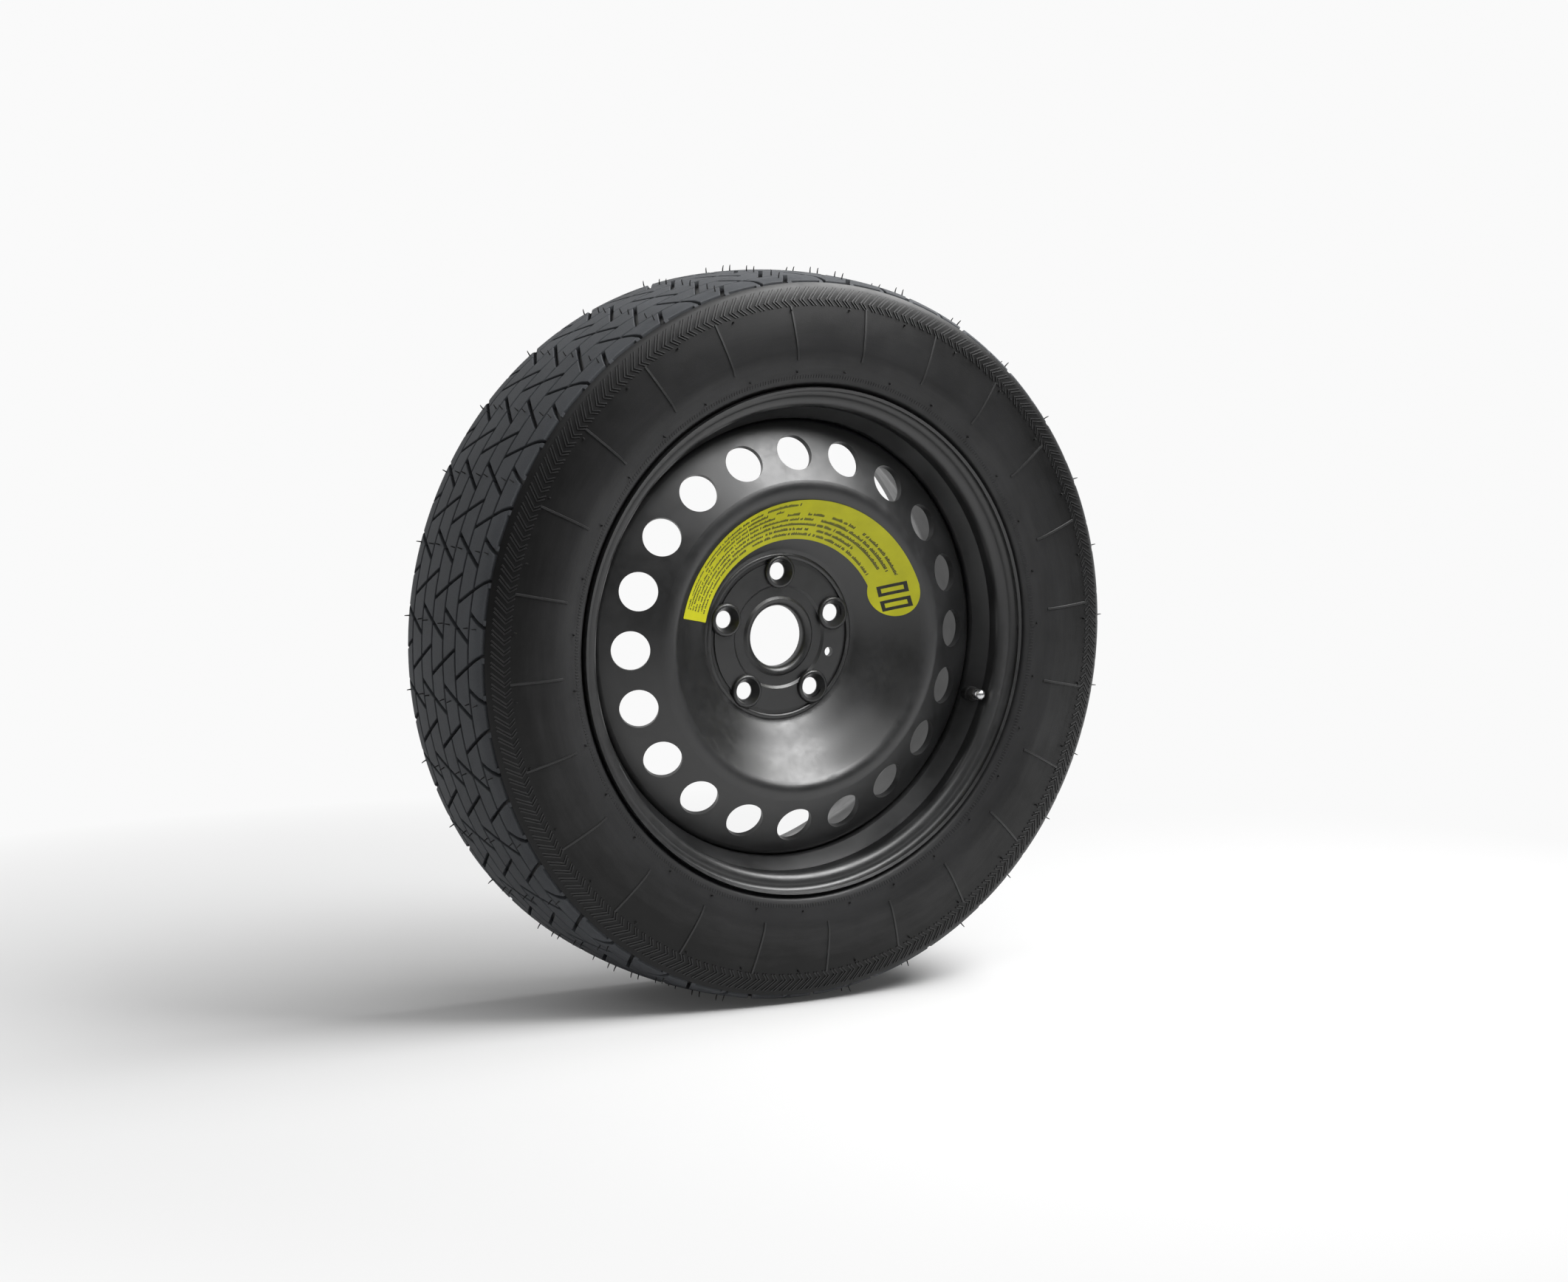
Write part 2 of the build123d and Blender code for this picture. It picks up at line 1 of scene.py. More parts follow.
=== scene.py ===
from math import cos, hypot, pi, radians, sin, sqrt, tan

import bmesh
import bpy
from bpy.props import FloatProperty, FloatVectorProperty, IntProperty, PointerProperty
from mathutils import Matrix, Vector


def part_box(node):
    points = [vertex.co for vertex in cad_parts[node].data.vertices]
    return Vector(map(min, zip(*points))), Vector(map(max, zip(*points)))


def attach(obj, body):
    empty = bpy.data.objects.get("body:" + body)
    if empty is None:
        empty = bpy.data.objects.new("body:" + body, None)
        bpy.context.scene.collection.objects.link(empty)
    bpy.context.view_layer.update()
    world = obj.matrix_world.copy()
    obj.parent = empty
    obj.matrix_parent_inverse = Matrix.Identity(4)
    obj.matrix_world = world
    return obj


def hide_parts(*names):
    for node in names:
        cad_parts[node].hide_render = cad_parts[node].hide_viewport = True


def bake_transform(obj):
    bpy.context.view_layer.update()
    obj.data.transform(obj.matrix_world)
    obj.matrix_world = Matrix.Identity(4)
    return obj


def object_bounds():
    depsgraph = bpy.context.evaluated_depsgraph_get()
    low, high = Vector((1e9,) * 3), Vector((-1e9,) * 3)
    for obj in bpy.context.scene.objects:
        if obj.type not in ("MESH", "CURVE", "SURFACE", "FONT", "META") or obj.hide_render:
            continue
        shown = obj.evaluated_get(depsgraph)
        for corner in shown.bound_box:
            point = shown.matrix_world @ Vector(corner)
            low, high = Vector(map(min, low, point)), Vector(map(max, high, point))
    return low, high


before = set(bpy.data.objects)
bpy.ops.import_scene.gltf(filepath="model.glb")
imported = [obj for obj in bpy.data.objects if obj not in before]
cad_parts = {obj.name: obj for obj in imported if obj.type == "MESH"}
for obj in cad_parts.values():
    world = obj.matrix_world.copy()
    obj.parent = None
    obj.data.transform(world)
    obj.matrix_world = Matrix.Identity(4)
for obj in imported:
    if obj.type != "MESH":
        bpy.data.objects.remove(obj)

bl_info = {
    "name": "Space saver spare wheel",
    "version": (1, 0, 0),
    "blender": (4, 5, 0),
    "location": "3D View > Sidebar > Spare wheel",
    "description": "Dresses the frame of a spare wheel with its tyre, tread, paint, label and studio",
    "category": "Object",
}

# Y is the spin axis and -Y the outer face. Angles run clockwise from the top, seen from the outer face.
CAD_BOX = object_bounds()
TYRE_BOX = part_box("tyre")
WHEEL = "wheel"
# Direction in which the pin of the valve is pressed.
PRESS = Vector((0.26215, 0.96126, -0.08518))
MM = 0.001
# Corners of a CAD mesh that lie nearer than this are one.
MERGE = 0.002 * MM
# Corners this near to a cutting plane lie on it.
ON_CUT = 0.0005 * MM
# Section of a raised bar: places across it as shares of its width, and lifts as shares of its height.
BAR_SECTION = ((-0.5, -0.5), (-0.28, 1.0), (0.28, 1.0), (0.5, -0.5))
# Rings of a hair from its foot: height and bend as shares of its height, width as a share of its foot.
HAIR_RINGS = ((-0.15, 0.0, 1.0), (0.35, 0.02, 0.85), (0.75, 0.09, 0.7), (1.0, 0.2, 0.45))
HAIR_SIDES = 5
# Steps of the casing in one pitch, and faces along a block, across a rib and across an outer rib.
CASING_STEPS = 8
BLOCK_ALONG = 5
RIB_ACROSS, OUTER_RIB_ACROSS = 2, 4
# Rows of moulding hairs on the tread, from the tyre's middle, and how far a hair may lean its own way.
HAIR_ROWS = [y * MM for y in (-60.7, -48.7, -20.1, -8.1, 20.5, 32.5, 60.7)]
HAIR_LEAN, STUB_LEAN = 0.16, 0.25
# Camera that sees the wheel as the photograph does. Its shift is in the photograph's pixels.
CAMERA_TURN, CAMERA_RISE = radians(-30.989), radians(6.7215)
CAMERA_AWAY = 3.7765
CAMERA_LENS, CAMERA_SENSOR = 100.957, 36.0
CAMERA_SHIFT = (6.58, -6.30)
PHOTO_WIDTH = 2123
# Lamps: place, the point that each looks at, width, height and power.
LAMPS = {
    "key_lamp": ((1.3, -0.7, 1.85), (0, 0, -0.1), 2.4, 1.1, 108),
    "left_lamp": ((-1.7, 0.1, 1.7), (0, 0, 0), 1.4, 1.4, 9),
    "front_lamp": ((0.1, -1.5, 2.0), (0, 0, -0.1), 2.4, 1.0, 22),
}
# Light from all sides, the cloth's share of the floor's colour, and half the floor's side.
FILL = 0.18
CLOTH_SHARE = 0.66
FLOOR_HALF = 30


def length(name, description, default):
    """A size in metres that a user may change."""
    return FloatProperty(name=name, description=description, default=default, unit="LENGTH", precision=5)


def turn(name, description, degrees):
    """An angle that a user may change."""
    return FloatProperty(name=name, description=description, default=radians(degrees), subtype="ANGLE")


def number_of(name, description, default, least):
    """A count that a user may change."""
    return IntProperty(name=name, description=description, default=default, min=least)


def colour(name, description, red, green, blue):
    """A colour that a user may change, in linear light."""
    return FloatVectorProperty(
        name=name, description=description, default=(red, green, blue), subtype="COLOR", min=0, max=1
    )


class TyreSizes(bpy.types.PropertyGroup):
    """Section of the tyre, as radii and distances from its middle plane."""

    radius: length("Radius", "Radius of the tread's middle", TYRE_BOX[1].z)
    half_width: length("Half width", "Distance of the sidewall's widest ring", 86 * MM)
    crown_radius: length("Crown radius", "Radius of the tread's curve across the tyre", 480 * MM)
    crown_half: length("Crown half width", "Where the crown turns into the shoulder", 60 * MM)
    shoulder_radius: length("Shoulder radius", "Radius of the shoulder groove", 305.7 * MM)
    shoulder_y: length("Shoulder distance", "Distance of the shoulder groove", 68.3 * MM)
    upper_radius: length("Upper wall radius", "Radius of the upper sidewall's ring", 292 * MM)
    upper_y: length("Upper wall distance", "Distance of the upper sidewall's ring", 75.9 * MM)
    widest_radius: length("Widest radius", "Radius of the widest ring", 250 * MM)
    lower_radius: length("Lower wall radius", "Radius of the lower sidewall's ring", 231 * MM)
    lower_inset: length("Lower wall inset", "How far the lower ring lies behind the widest", 3.0 * MM)
    edge_radius: length("Edge radius", "Radius of the edge beside the flange", 221.5 * MM)
    edge_inset: length("Edge inset", "How far that edge lies behind the widest ring", 6.2 * MM)
    foot_radius: length("Foot radius", "Radius where the sidewall turns in behind the flange", 219 * MM)
    foot_inset: length("Foot inset", "How far the foot lies behind the widest ring", 9.6 * MM)
    bead_radius: length("Bead radius", "Radius of the bead's seat", 202.9 * MM)
    bead_y: length("Bead distance", "Distance of the bead's heel", 69.7 * MM)
    bead_width: length("Bead width", "Width of the bead", 13.5 * MM)
    wall: length("Wall", "Thickness of the sidewall", 8 * MM)
    lining_radius: length("Lining radius", "Radius of the air space", 300.2 * MM)


class TreadSizes(bpy.types.PropertyGroup):
    """Blocks, slots and hairs of the tread."""

    pitches: number_of("Pitches", "Repeats of the pattern round the tyre", 31, 3)
    start: turn("Start", "Angle of the first falling slot", 263.46)
    ribs: number_of("Ribs", "Ribs across the tread", 7, 3)
    rib_width: length("Rib width", "Width of a rib", 20.3 * MM)
    depth: length("Depth", "Depth of the slots and lines", 5 * MM)
    rib_line: length("Rib line", "Width of the thin line between two ribs", 2.0 * MM)
    shoulder_line: length("Shoulder line", "Width of the shoulder groove", 2.4 * MM)
    falling_slot: length("Falling slot", "Width of the slots that lean one way", 3.6 * MM)
    rising_slot: length("Rising slot", "Width of the slots that lean the other way", 3.0 * MM)
    lean: turn("Lean", "Angle between a slot and the tyre's width", 31.3)
    bevel: length("Bevel", "Worn edge of a block", 0.45 * MM)
    bridge: length("Bridge", "Length of the rubber that breaks the shoulder groove", 4.5 * MM)
    hair_height: length("Hair height", "Height of the moulding hairs", 5.0 * MM)
    hair_radius: length("Hair radius", "Radius of a hair's foot", 0.65 * MM)
    hair_clear: turn("Hair clearance", "Half the arc on the floor, where the hairs are worn off", 9)


class WallSizes(bpy.types.PropertyGroup):
    """Small forms that are moulded on the sidewalls."""

    ribs: number_of("Ribs", "Radial ribs round a sidewall", 24, 3)
    rib_start: turn("Rib start", "Angle of the first rib", 11.4)
    rib_inner: length("Rib inner end", "Radius of a rib's inner end", 241 * MM)
    rib_outer: length("Rib outer end", "Radius of a rib's outer end", 286 * MM)
    rib_width: length("Rib width", "Width of a rib", 2.8 * MM)
    rib_height: length("Rib height", "Height of a rib", 0.9 * MM)
    chevrons: number_of("Chevrons", "Chevrons round a sidewall", 211, 3)
    chevron_inner: length("Chevron inner end", "Radius of the chevrons' inner ends", 285.5 * MM)
    chevron_tip: length("Chevron tip", "Radius of the chevrons' tips", 290.5 * MM)
    chevron_outer: length("Chevron outer end", "Radius of the chevrons' outer ends", 300.5 * MM)
    chevron_reach: length("Chevron reach", "How far a chevron's tip lies along the tyre", 9.0 * MM)
    stroke_width: length("Stroke width", "Width of a chevron's stroke", 1.5 * MM)
    stroke_height: length("Stroke height", "Height of a chevron's stroke", 0.8 * MM)
    stroke_step: length("Stroke step", "Distance between a chevron's two strokes", 3.0 * MM)
    ticks: number_of("Ticks", "Fine ticks beside the flange", 540, 3)
    tick_inner: length("Tick inner end", "Radius of the ticks' inner ends", 224.6 * MM)
    tick_outer: length("Tick outer end", "Radius of the ticks' outer ends", 227.4 * MM)
    tick_width: length("Tick width", "Width of a tick", 1.2 * MM)
    tick_height: length("Tick height", "Height of a tick", 0.35 * MM)
    vent_low: length("Lower vents", "Radius of the lower ring of vent stubs", 230.5 * MM)
    vent_high: length("Upper vents", "Radius of the upper ring of vent stubs", 283 * MM)
    vent_radius: length("Vent radius", "Radius of a vent stub", 0.9 * MM)
    vent_height: length("Vent height", "Height of a vent stub", 2.6 * MM)


class DishSizes(bpy.types.PropertyGroup):
    """Front face of the disc's dish, a cone that is pressed a little hollow."""

    foot: length("Foot", "Radius of the dish's foot", 73 * MM)
    depth: length("Depth", "Place of the foot along the axis", -29 * MM)
    slope: FloatProperty(name="Slope", description="Rise of the dish along its radius", default=0.7589)
    inner: length("Inner radius", "Radius where the hollow starts", 74 * MM)
    outer: length("Outer radius", "Radius where the hollow ends", 127 * MM)
    hollow: length("Hollow", "How far the middle of the wall lies behind the cone", 2.8 * MM)
    cuts: number_of("Cuts", "Rings that the wall is cut into", 16, 2)


class LabelSizes(bpy.types.PropertyGroup):
    """Film of the label, which lies on the dish, and its plain print."""

    inner: length("Inner radius", "Radius of the label's inner edge", 84.3 * MM)
    inner_shift: length("Inner shift", "How far right the inner edge's centre is", 8 * MM)
    outer: length("Outer radius", "Radius of the label's outer edge", 120 * MM)
    outer_shift: length("Outer shift", "How far right the outer edge's centre is", 5 * MM)
    start: turn("Start", "Angle of the label's straight end", -77.5)
    lobe_radius: length("Lobe radius", "Distance of the round end from the axis", 106.5 * MM)
    lobe_angle: turn("Lobe angle", "Angle of the round end's middle", 70.5)
    lobe_size: length("Lobe size", "Radius of the round end itself", 22.5 * MM)
    film_low: length("Film gap", "Lowest face of the film above the dish", 0.19 * MM)
    film_high: length("Film top", "Highest face of the film above the dish", 0.44 * MM)
    rows: number_of("Rows", "Rows of small dashes", 7, 1)
    dash: length("Dash", "Length of a dash with the gap after it", 1.5 * MM)
    print_start: turn("Print start", "Angle where the rows start", -74)
    print_sweep: turn("Print sweep", "Angle that a full row covers", 151)
    mark_angle: turn("Mark angle", "Angle of the bold marks", 73)
    mark_radius: length("Mark radius", "Radius of the bold marks' middle", 106.5 * MM)
    mark_height: length("Mark height", "Size of a bold mark along the radius", 21 * MM)
    mark_width: length("Mark width", "Size of a bold mark across the radius", 9.5 * MM)
    mark_stroke: length("Mark stroke", "Thickness of a bold mark's line", 2.8 * MM)
    mark_step: length("Mark step", "Distance between the two bold marks", 13.5 * MM)


class Finishes(bpy.types.PropertyGroup):
    """Colours of the wheel's surfaces, in linear light."""

    sidewall: colour("Sidewall", "Rubber of the sidewalls", 0.0062, 0.0062, 0.0064)
    tread: colour("Tread", "Rubber of the tread", 0.048, 0.051, 0.056)
    paint: colour("Paint", "Satin black paint of the steel", 0.009, 0.0092, 0.0096)
    label: colour("Label", "Film of the label", 0.56, 0.55, 0.012)
    ink: colour("Ink", "Print on the label", 0.02, 0.02, 0.015)
    # Painted highlight: a lighter copy of the sidewall rubber for the raised ribs and chevrons, as
    # though they catch the light.
    highlit_strokes: colour("Highlit strokes", "Raised strokes of the sidewalls", 0.011, 0.011, 0.0113)
    stub: colour("Stub", "Rubber of the moulding hairs and vent stubs", 0.003, 0.003, 0.003)
    valve: colour("Valve", "Rubber of the valve", 0.010, 0.010, 0.010)
    cap: colour("Cap", "Plated cap of the valve", 0.62, 0.62, 0.63)
    brass: colour("Brass", "Turned pieces in the valve", 0.60, 0.42, 0.17)
    floor: colour("Floor", "Floor and background", 0.955, 0.955, 0.955)


class Wire:
    """An output socket that can be used in Python arithmetic."""

    def __init__(self, board, socket):
        self.board = board
        self.socket = socket

    def maths(self, operation, *others):
        """A Math node with this wire first."""
        return self.board.add("ShaderNodeMath", (self, *others), operation=operation)

    def __add__(self, other):
        return self.maths("ADD", other)

    def __radd__(self, other):
        return self.maths("ADD", other)

    def __sub__(self, other):
        return self.maths("SUBTRACT", other)

    def __rsub__(self, other):
        return self.board.add("ShaderNodeMath", (other, self), operation="SUBTRACT")

    def __mul__(self, other):
        return self.maths("MULTIPLY", other)

    def __rmul__(self, other):
        return self.maths("MULTIPLY", other)

    def __truediv__(self, other):
        return self.maths("DIVIDE", other)

    def __gt__(self, other):
        return self.maths("GREATER_THAN", other)

    def __lt__(self, other):
        return self.maths("LESS_THAN", other)


class Board:
    """A node tree with one method that adds any node."""

    def __init__(self, tree):
        self.tree = tree

    def add(self, kind, inputs=(), output=0, steps=(), **settings):
        """Add a node, set it, feed its sockets with values or wires, and return one of its outputs."""
        node = self.tree.nodes.new(kind)
        for name, value in settings.items():
            setattr(node, name, value)
        for number, (place, value) in enumerate(steps):
            node.color_ramp.interpolation = "CONSTANT"
            ramp = node.color_ramp.elements
            step = ramp[number] if number < len(ramp) else ramp.new(place)
            step.position = place
            step.color = (value, value, value, 1)
        pairs = inputs.items() if isinstance(inputs, dict) else enumerate(inputs)
        for key, value in pairs:
            if isinstance(value, Wire):
                self.tree.links.new(value.socket, node.inputs[key])
            else:
                node.inputs[key].default_value = value
        return Wire(self, node.outputs[output]) if node.outputs else None

    def axes(self, vector):
        """The three parts of a vector."""
        node = self.add("ShaderNodeSeparateXYZ", (vector,)).socket.node
        return [Wire(self, part) for part in node.outputs]

    def mix(self, share, low, high):
        """A colour between two others. The node's sockets for colours are 6 and 7, and its output 2."""
        inputs = {0: share, 6: low, 7: high}
        return self.add("ShaderNodeMix", inputs, output=2, data_type="RGBA")

    def spread(self, value, low, high, new_low, new_high):
        """A value carried from one range to another, with its ends held."""
        return self.add("ShaderNodeMapRange", (value, low, high, new_low, new_high))


class Paintbox(Board):
    """A material's tree, with the places and noises that the finishes share."""

    def __init__(self, name):
        self.material = bpy.data.materials.new(name)
        self.material.use_nodes = True
        super().__init__(self.material.node_tree)
        self.tree.nodes.clear()
        self.place = self.add("ShaderNodeTexCoord", output="Object")

    def noise(self, scale, detail=2.0, roughness=0.5, place=None):
        """Soft noise at a number of cells in a metre."""
        inputs = {"Scale": scale, "Detail": detail, "Roughness": roughness}
        return self.add("ShaderNodeTexNoise", {"Vector": place or self.place, **inputs})

    def bump(self, height, strength, distance):
        """A surface that is roughened by a height."""
        inputs = {"Strength": strength, "Distance": distance, "Height": height}
        return self.add("ShaderNodeBump", inputs)

    def surface(self, **inputs):
        """End the material in one shader. Underscores in a socket's name stand for spaces."""
        sockets = {name.replace("_", " "): value for name, value in inputs.items()}
        shader = self.add("ShaderNodeBsdfPrincipled", sockets)
        self.add("ShaderNodeOutputMaterial", (shader,))
        return self.material


def opaque(tint, share=1.0):
    """A property's colour with full alpha, made darker or lighter by a share."""
    return tuple(channel * share for channel in tint) + (1.0,)


def on_wheel(angle, radius, y):
    """Point at an angle and a radius round the spin axis."""
    return Vector((radius * sin(angle), y, radius * cos(angle)))


def curve_through(points, first, last, steps):
    """Points of a smooth curve through others, with its directions at both ends."""
    gaps = [hypot(b[0] - a[0], b[1] - a[1]) for a, b in zip(points, points[1:])]
    slopes = [first]
    for before, after, gap in zip(points, points[2:], zip(gaps, gaps[1:])):
        slopes.append(((after[0] - before[0]) / sum(gap), (after[1] - before[1]) / sum(gap)))
    slopes.append(last)
    curve = []
    for number, gap in enumerate(gaps):
        for step in range(steps):
            t = step / steps
            weighted = (
                (2 * t**3 - 3 * t**2 + 1, points[number]),
                (gap * (t**3 - 2 * t**2 + t), slopes[number]),
                (3 * t**2 - 2 * t**3, points[number + 1]),
                (gap * (t**3 - t**2), slopes[number + 1]),
            )
            curve.append(tuple(sum(share * part[axis] for share, part in weighted) for axis in (0, 1)))
    return curve + [points[-1]]


def tread_radius(tyre, y):
    """Radius of the tread's surface at a distance from the middle."""
    y = abs(y)
    inner = min(y, tyre.crown_half)
    crown = tyre.radius - tyre.crown_radius + sqrt(tyre.crown_radius**2 - inner**2)
    slope = tyre.crown_half / tyre.crown_radius
    reach = tyre.shoulder_y - tyre.crown_half
    edge = tyre.radius - tyre.crown_radius + sqrt(tyre.crown_radius**2 - tyre.crown_half**2)
    bend = (edge - tyre.shoulder_radius - slope * reach) / reach**2
    past = max(0.0, y - tyre.crown_half)
    return crown - slope * past - bend * past**2


def wall_curve(tyre, tread):
    """Points of a sidewall from the shoulder groove to the foot, as radius and distance."""
    start_y = tyre.shoulder_y + tread.shoulder_line / 2
    points = (
        (tread_radius(tyre, start_y), start_y),
        (tyre.upper_radius, tyre.upper_y),
        (tyre.widest_radius, tyre.half_width),
        (tyre.lower_radius, tyre.half_width - tyre.lower_inset),
        (tyre.edge_radius, tyre.half_width - tyre.edge_inset),
        (tyre.foot_radius, tyre.half_width - tyre.foot_inset),
    )
    from_groove, into_foot, steps = (-0.7, 0.7), (-0.3, -0.95), 10
    return curve_through(points, from_groove, into_foot, steps)


def wall_point(curve, angle, radius, side, lift=0.0):
    """Point on a sidewall at a radius, lifted off it along its normal."""
    for near, far in zip(curve, curve[1:]):
        if far[0] <= radius:
            break
    share = (near[0] - radius) / (near[0] - far[0])
    y = near[1] + share * (far[1] - near[1])
    run = hypot(far[0] - near[0], far[1] - near[1])
    outward = (far[1] - near[1]) / run
    sideways = (near[0] - far[0]) / run
    return on_wheel(angle, radius + lift * outward, side * (y + lift * sideways))


def new_piece(name, shape, material=None, smooth=35):
    """Object of a bmesh, with its faces outwards and its sharp edges kept."""
    mesh = bpy.data.meshes.new(name)
    bmesh.ops.recalc_face_normals(shape, faces=shape.faces)
    shape.to_mesh(mesh)
    shape.free()
    mesh.polygons.foreach_set("use_smooth", [True] * len(mesh.polygons))
    mesh.set_sharp_from_angle(angle=radians(smooth))
    if material:
        mesh.materials.append(material)
    piece = bpy.data.objects.new(name, mesh)
    bpy.context.scene.collection.objects.link(piece)
    return piece


def hang_on_wheel(piece):
    """Let a finished piece ride on the wheel."""
    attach(piece, WHEEL)


def join_rings(shape, near, far):
    """Faces between two closed rings of equally many corners."""
    for number in range(len(near)):
        after = (number + 1) % len(near)
        shape.faces.new((near[number], near[after], far[after], far[number]))


def add_strip(shape, stations):
    """Closed bar through cross-sections, each a list of points in the same order."""
    rings = [[shape.verts.new(point) for point in station] for station in stations]
    for near, far in zip(rings, rings[1:]):
        join_rings(shape, near, far)
    shape.faces.new(rings[0])
    shape.faces.new(reversed(rings[-1]))


def add_ridge(shape, curve, path, side, width, height):
    """Raised bar on a sidewall, along a path of angles and radii."""
    stations = []
    for number, (angle, radius) in enumerate(path):
        before = path[max(number - 1, 0)]
        after = path[min(number + 1, len(path) - 1)]
        run = (radius * (after[0] - before[0]), after[1] - before[1])
        run_length = hypot(*run)
        across = (-run[1] / run_length, run[0] / run_length)
        station = []
        for offset, lift in BAR_SECTION:
            angle_there = angle + offset * width * across[0] / radius
            radius_there = radius + offset * width * across[1]
            station.append(wall_point(curve, angle_there, radius_there, side, lift * height))
        stations.append(station)
    add_strip(shape, stations)


def hollow_share(dish, radius):
    """How far across the hollow a radius lies, from 0 to 1."""
    return min(max((radius - dish.inner) / (dish.outer - dish.inner), 0.0), 1.0)


def hollow_by(dish, radius):
    """How far the dish lies behind its cone, at a radius."""
    return dish.hollow * (1 - cos(2 * pi * hollow_share(dish, radius))) / 2


def hollow_disc(name, dish, material):
    """The disc's CAD shape and shading, with the wall of its dish cut into rings and pressed hollow."""
    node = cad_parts["disc"]
    place = node.matrix_world
    shape = bmesh.new()
    shape.from_mesh(node.data)
    shading = shape.loops.layers.float_vector.new("shading")
    for face in shape.faces:
        for number, loop in enumerate(face.loops, node.data.polygons[face.index].loop_start):
            loop[shading] = place.to_3x3() @ node.data.corner_normals[number].vector
    shape.transform(place)
    bmesh.ops.remove_doubles(shape, verts=shape.verts, dist=MERGE)

    def reach(vertex):
        return hypot(vertex.co.x, vertex.co.z)

    inner_margin, outer_margin, back_margin = 6 * MM, 4 * MM, 7 * MM
    near, far = dish.inner - inner_margin, dish.outer + outer_margin
    first = dish.depth + back_margin
    last = dish.depth - (dish.outer - dish.foot) * dish.slope
    for number in range(1, dish.cuts):
        wall = [face for face in shape.faces if all(near < reach(v) < far for v in face.verts)]
        edges = {edge for face in wall for edge in face.edges}
        corners = {vertex for face in wall for vertex in face.verts}
        height = first + (last - first) * number / dish.cuts
        bmesh.ops.bisect_plane(
            shape, geom=wall + list(edges) + list(corners), dist=ON_CUT,
            plane_co=(0, height, 0), plane_no=(0, 1, 0),
        )
    steepest = dish.hollow * pi / (dish.outer - dish.inner)
    for vertex in shape.verts:
        radius = reach(vertex)
        tilt = steepest * sin(2 * pi * hollow_share(dish, radius)) / radius
        for loop in vertex.link_loops:
            normal = loop[shading]
            lean = Vector((vertex.co.x, 0.0, vertex.co.z)) * (tilt * normal.y)
            loop[shading] = (normal - lean).normalized()
        vertex.co.y += hollow_by(dish, radius)
    piece = new_piece(name, shape, material)
    normals = [corner.vector for corner in piece.data.attributes["shading"].data]
    piece.data.normals_split_custom_set(normals)
    piece.data.attributes.remove(piece.data.attributes["shading"])
    return piece


def label_film(label, dish):
    """Closed film on the dish: a ring's part with a straight end and a round end."""
    slant = hypot(1, dish.slope)
    reach = label.lobe_size / label.lobe_radius
    first_lobe, last = label.lobe_angle - reach, label.lobe_angle + reach
    steps, lobe_steps, columns = 90, 60, 10
    # The film stops just short of the round end's last point, so that its end is still a face.
    short = 0.0005
    angles = [label.start + (first_lobe - label.start) * n / steps for n in range(steps)]
    angles += [label.lobe_angle - reach * cos(pi * n / lobe_steps) for n in range(lobe_steps)]
    angles.append(last - short)

    def ring_edge(angle, radius, shift):
        return shift * sin(angle) + sqrt(radius**2 - (shift * cos(angle)) ** 2)

    def corner(angle, radius, lift):
        y = dish.depth - (radius - dish.foot) * dish.slope + hollow_by(dish, radius)
        return on_wheel(angle, radius, y - lift)

    stations = []
    for angle in angles:
        inner = ring_edge(angle, label.inner, label.inner_shift)
        outer = ring_edge(angle, label.outer, label.outer_shift)
        aside = (angle - label.lobe_angle) * label.lobe_radius
        if angle > first_lobe:
            half = sqrt(max(label.lobe_size**2 - aside**2, 0.0)) / slant
            low, high = label.lobe_radius - half, label.lobe_radius + half
            past = angle > label.lobe_angle
            inner = low if past else min(inner, low)
            outer = high if past else max(outer, high)
        rows = [inner + (outer - inner) * n / columns for n in range(columns + 1)]
        top = [corner(angle, radius, label.film_high) for radius in rows]
        stations.append(top + [corner(angle, radius, label.film_low) for radius in reversed(rows)])
    shape = bmesh.new()
    add_strip(shape, stations)
    return shape


def new_tree(name, **inputs):
    """Board of a tree that takes a shape and more inputs, and the wires of all of them by name."""
    tree = bpy.data.node_groups.new(name, "GeometryNodeTree")
    for socket, kind in {"Shape": "Geometry", **inputs, "Finish": "Material"}.items():
        tree.interface.new_socket(socket, in_out="INPUT", socket_type="NodeSocket" + kind)
    tree.interface.new_socket("Ring", in_out="OUTPUT", socket_type="NodeSocketGeometry")
    board = Board(tree)
    node = board.add("NodeGroupInput").socket.node
    return board, {socket.name: Wire(board, socket) for socket in node.outputs if socket.name}


def ring_angle(board, given):
    """Angle of each copy in a ring."""
    return given["Start"] + 2 * pi * board.add("GeometryNodeInputIndex") / given["Count"]


def end_tree(board, copies, finish):
    """Make the copies real, give them their finish and hand them out."""
    real = board.add("GeometryNodeRealizeInstances", (copies,))
    done = board.add("GeometryNodeSetMaterial", {"Geometry": real, "Material": finish})
    board.add("NodeGroupOutput", (done,))
    return board.tree


def repeat_tree():
    """Tree that repeats a shape round the spin axis, where it stands."""
    board, given = new_tree("Repeat round the spin axis", Count="Int", Start="Float")
    turned = board.add("ShaderNodeCombineXYZ", (0.0, ring_angle(board, given), 0.0))
    points = board.add("GeometryNodePoints", {"Count": given["Count"]})
    copies = board.add(
        "GeometryNodeInstanceOnPoints",
        {"Points": points, "Instance": given["Shape"], "Rotation": turned},
    )
    return end_tree(board, copies, given["Finish"])


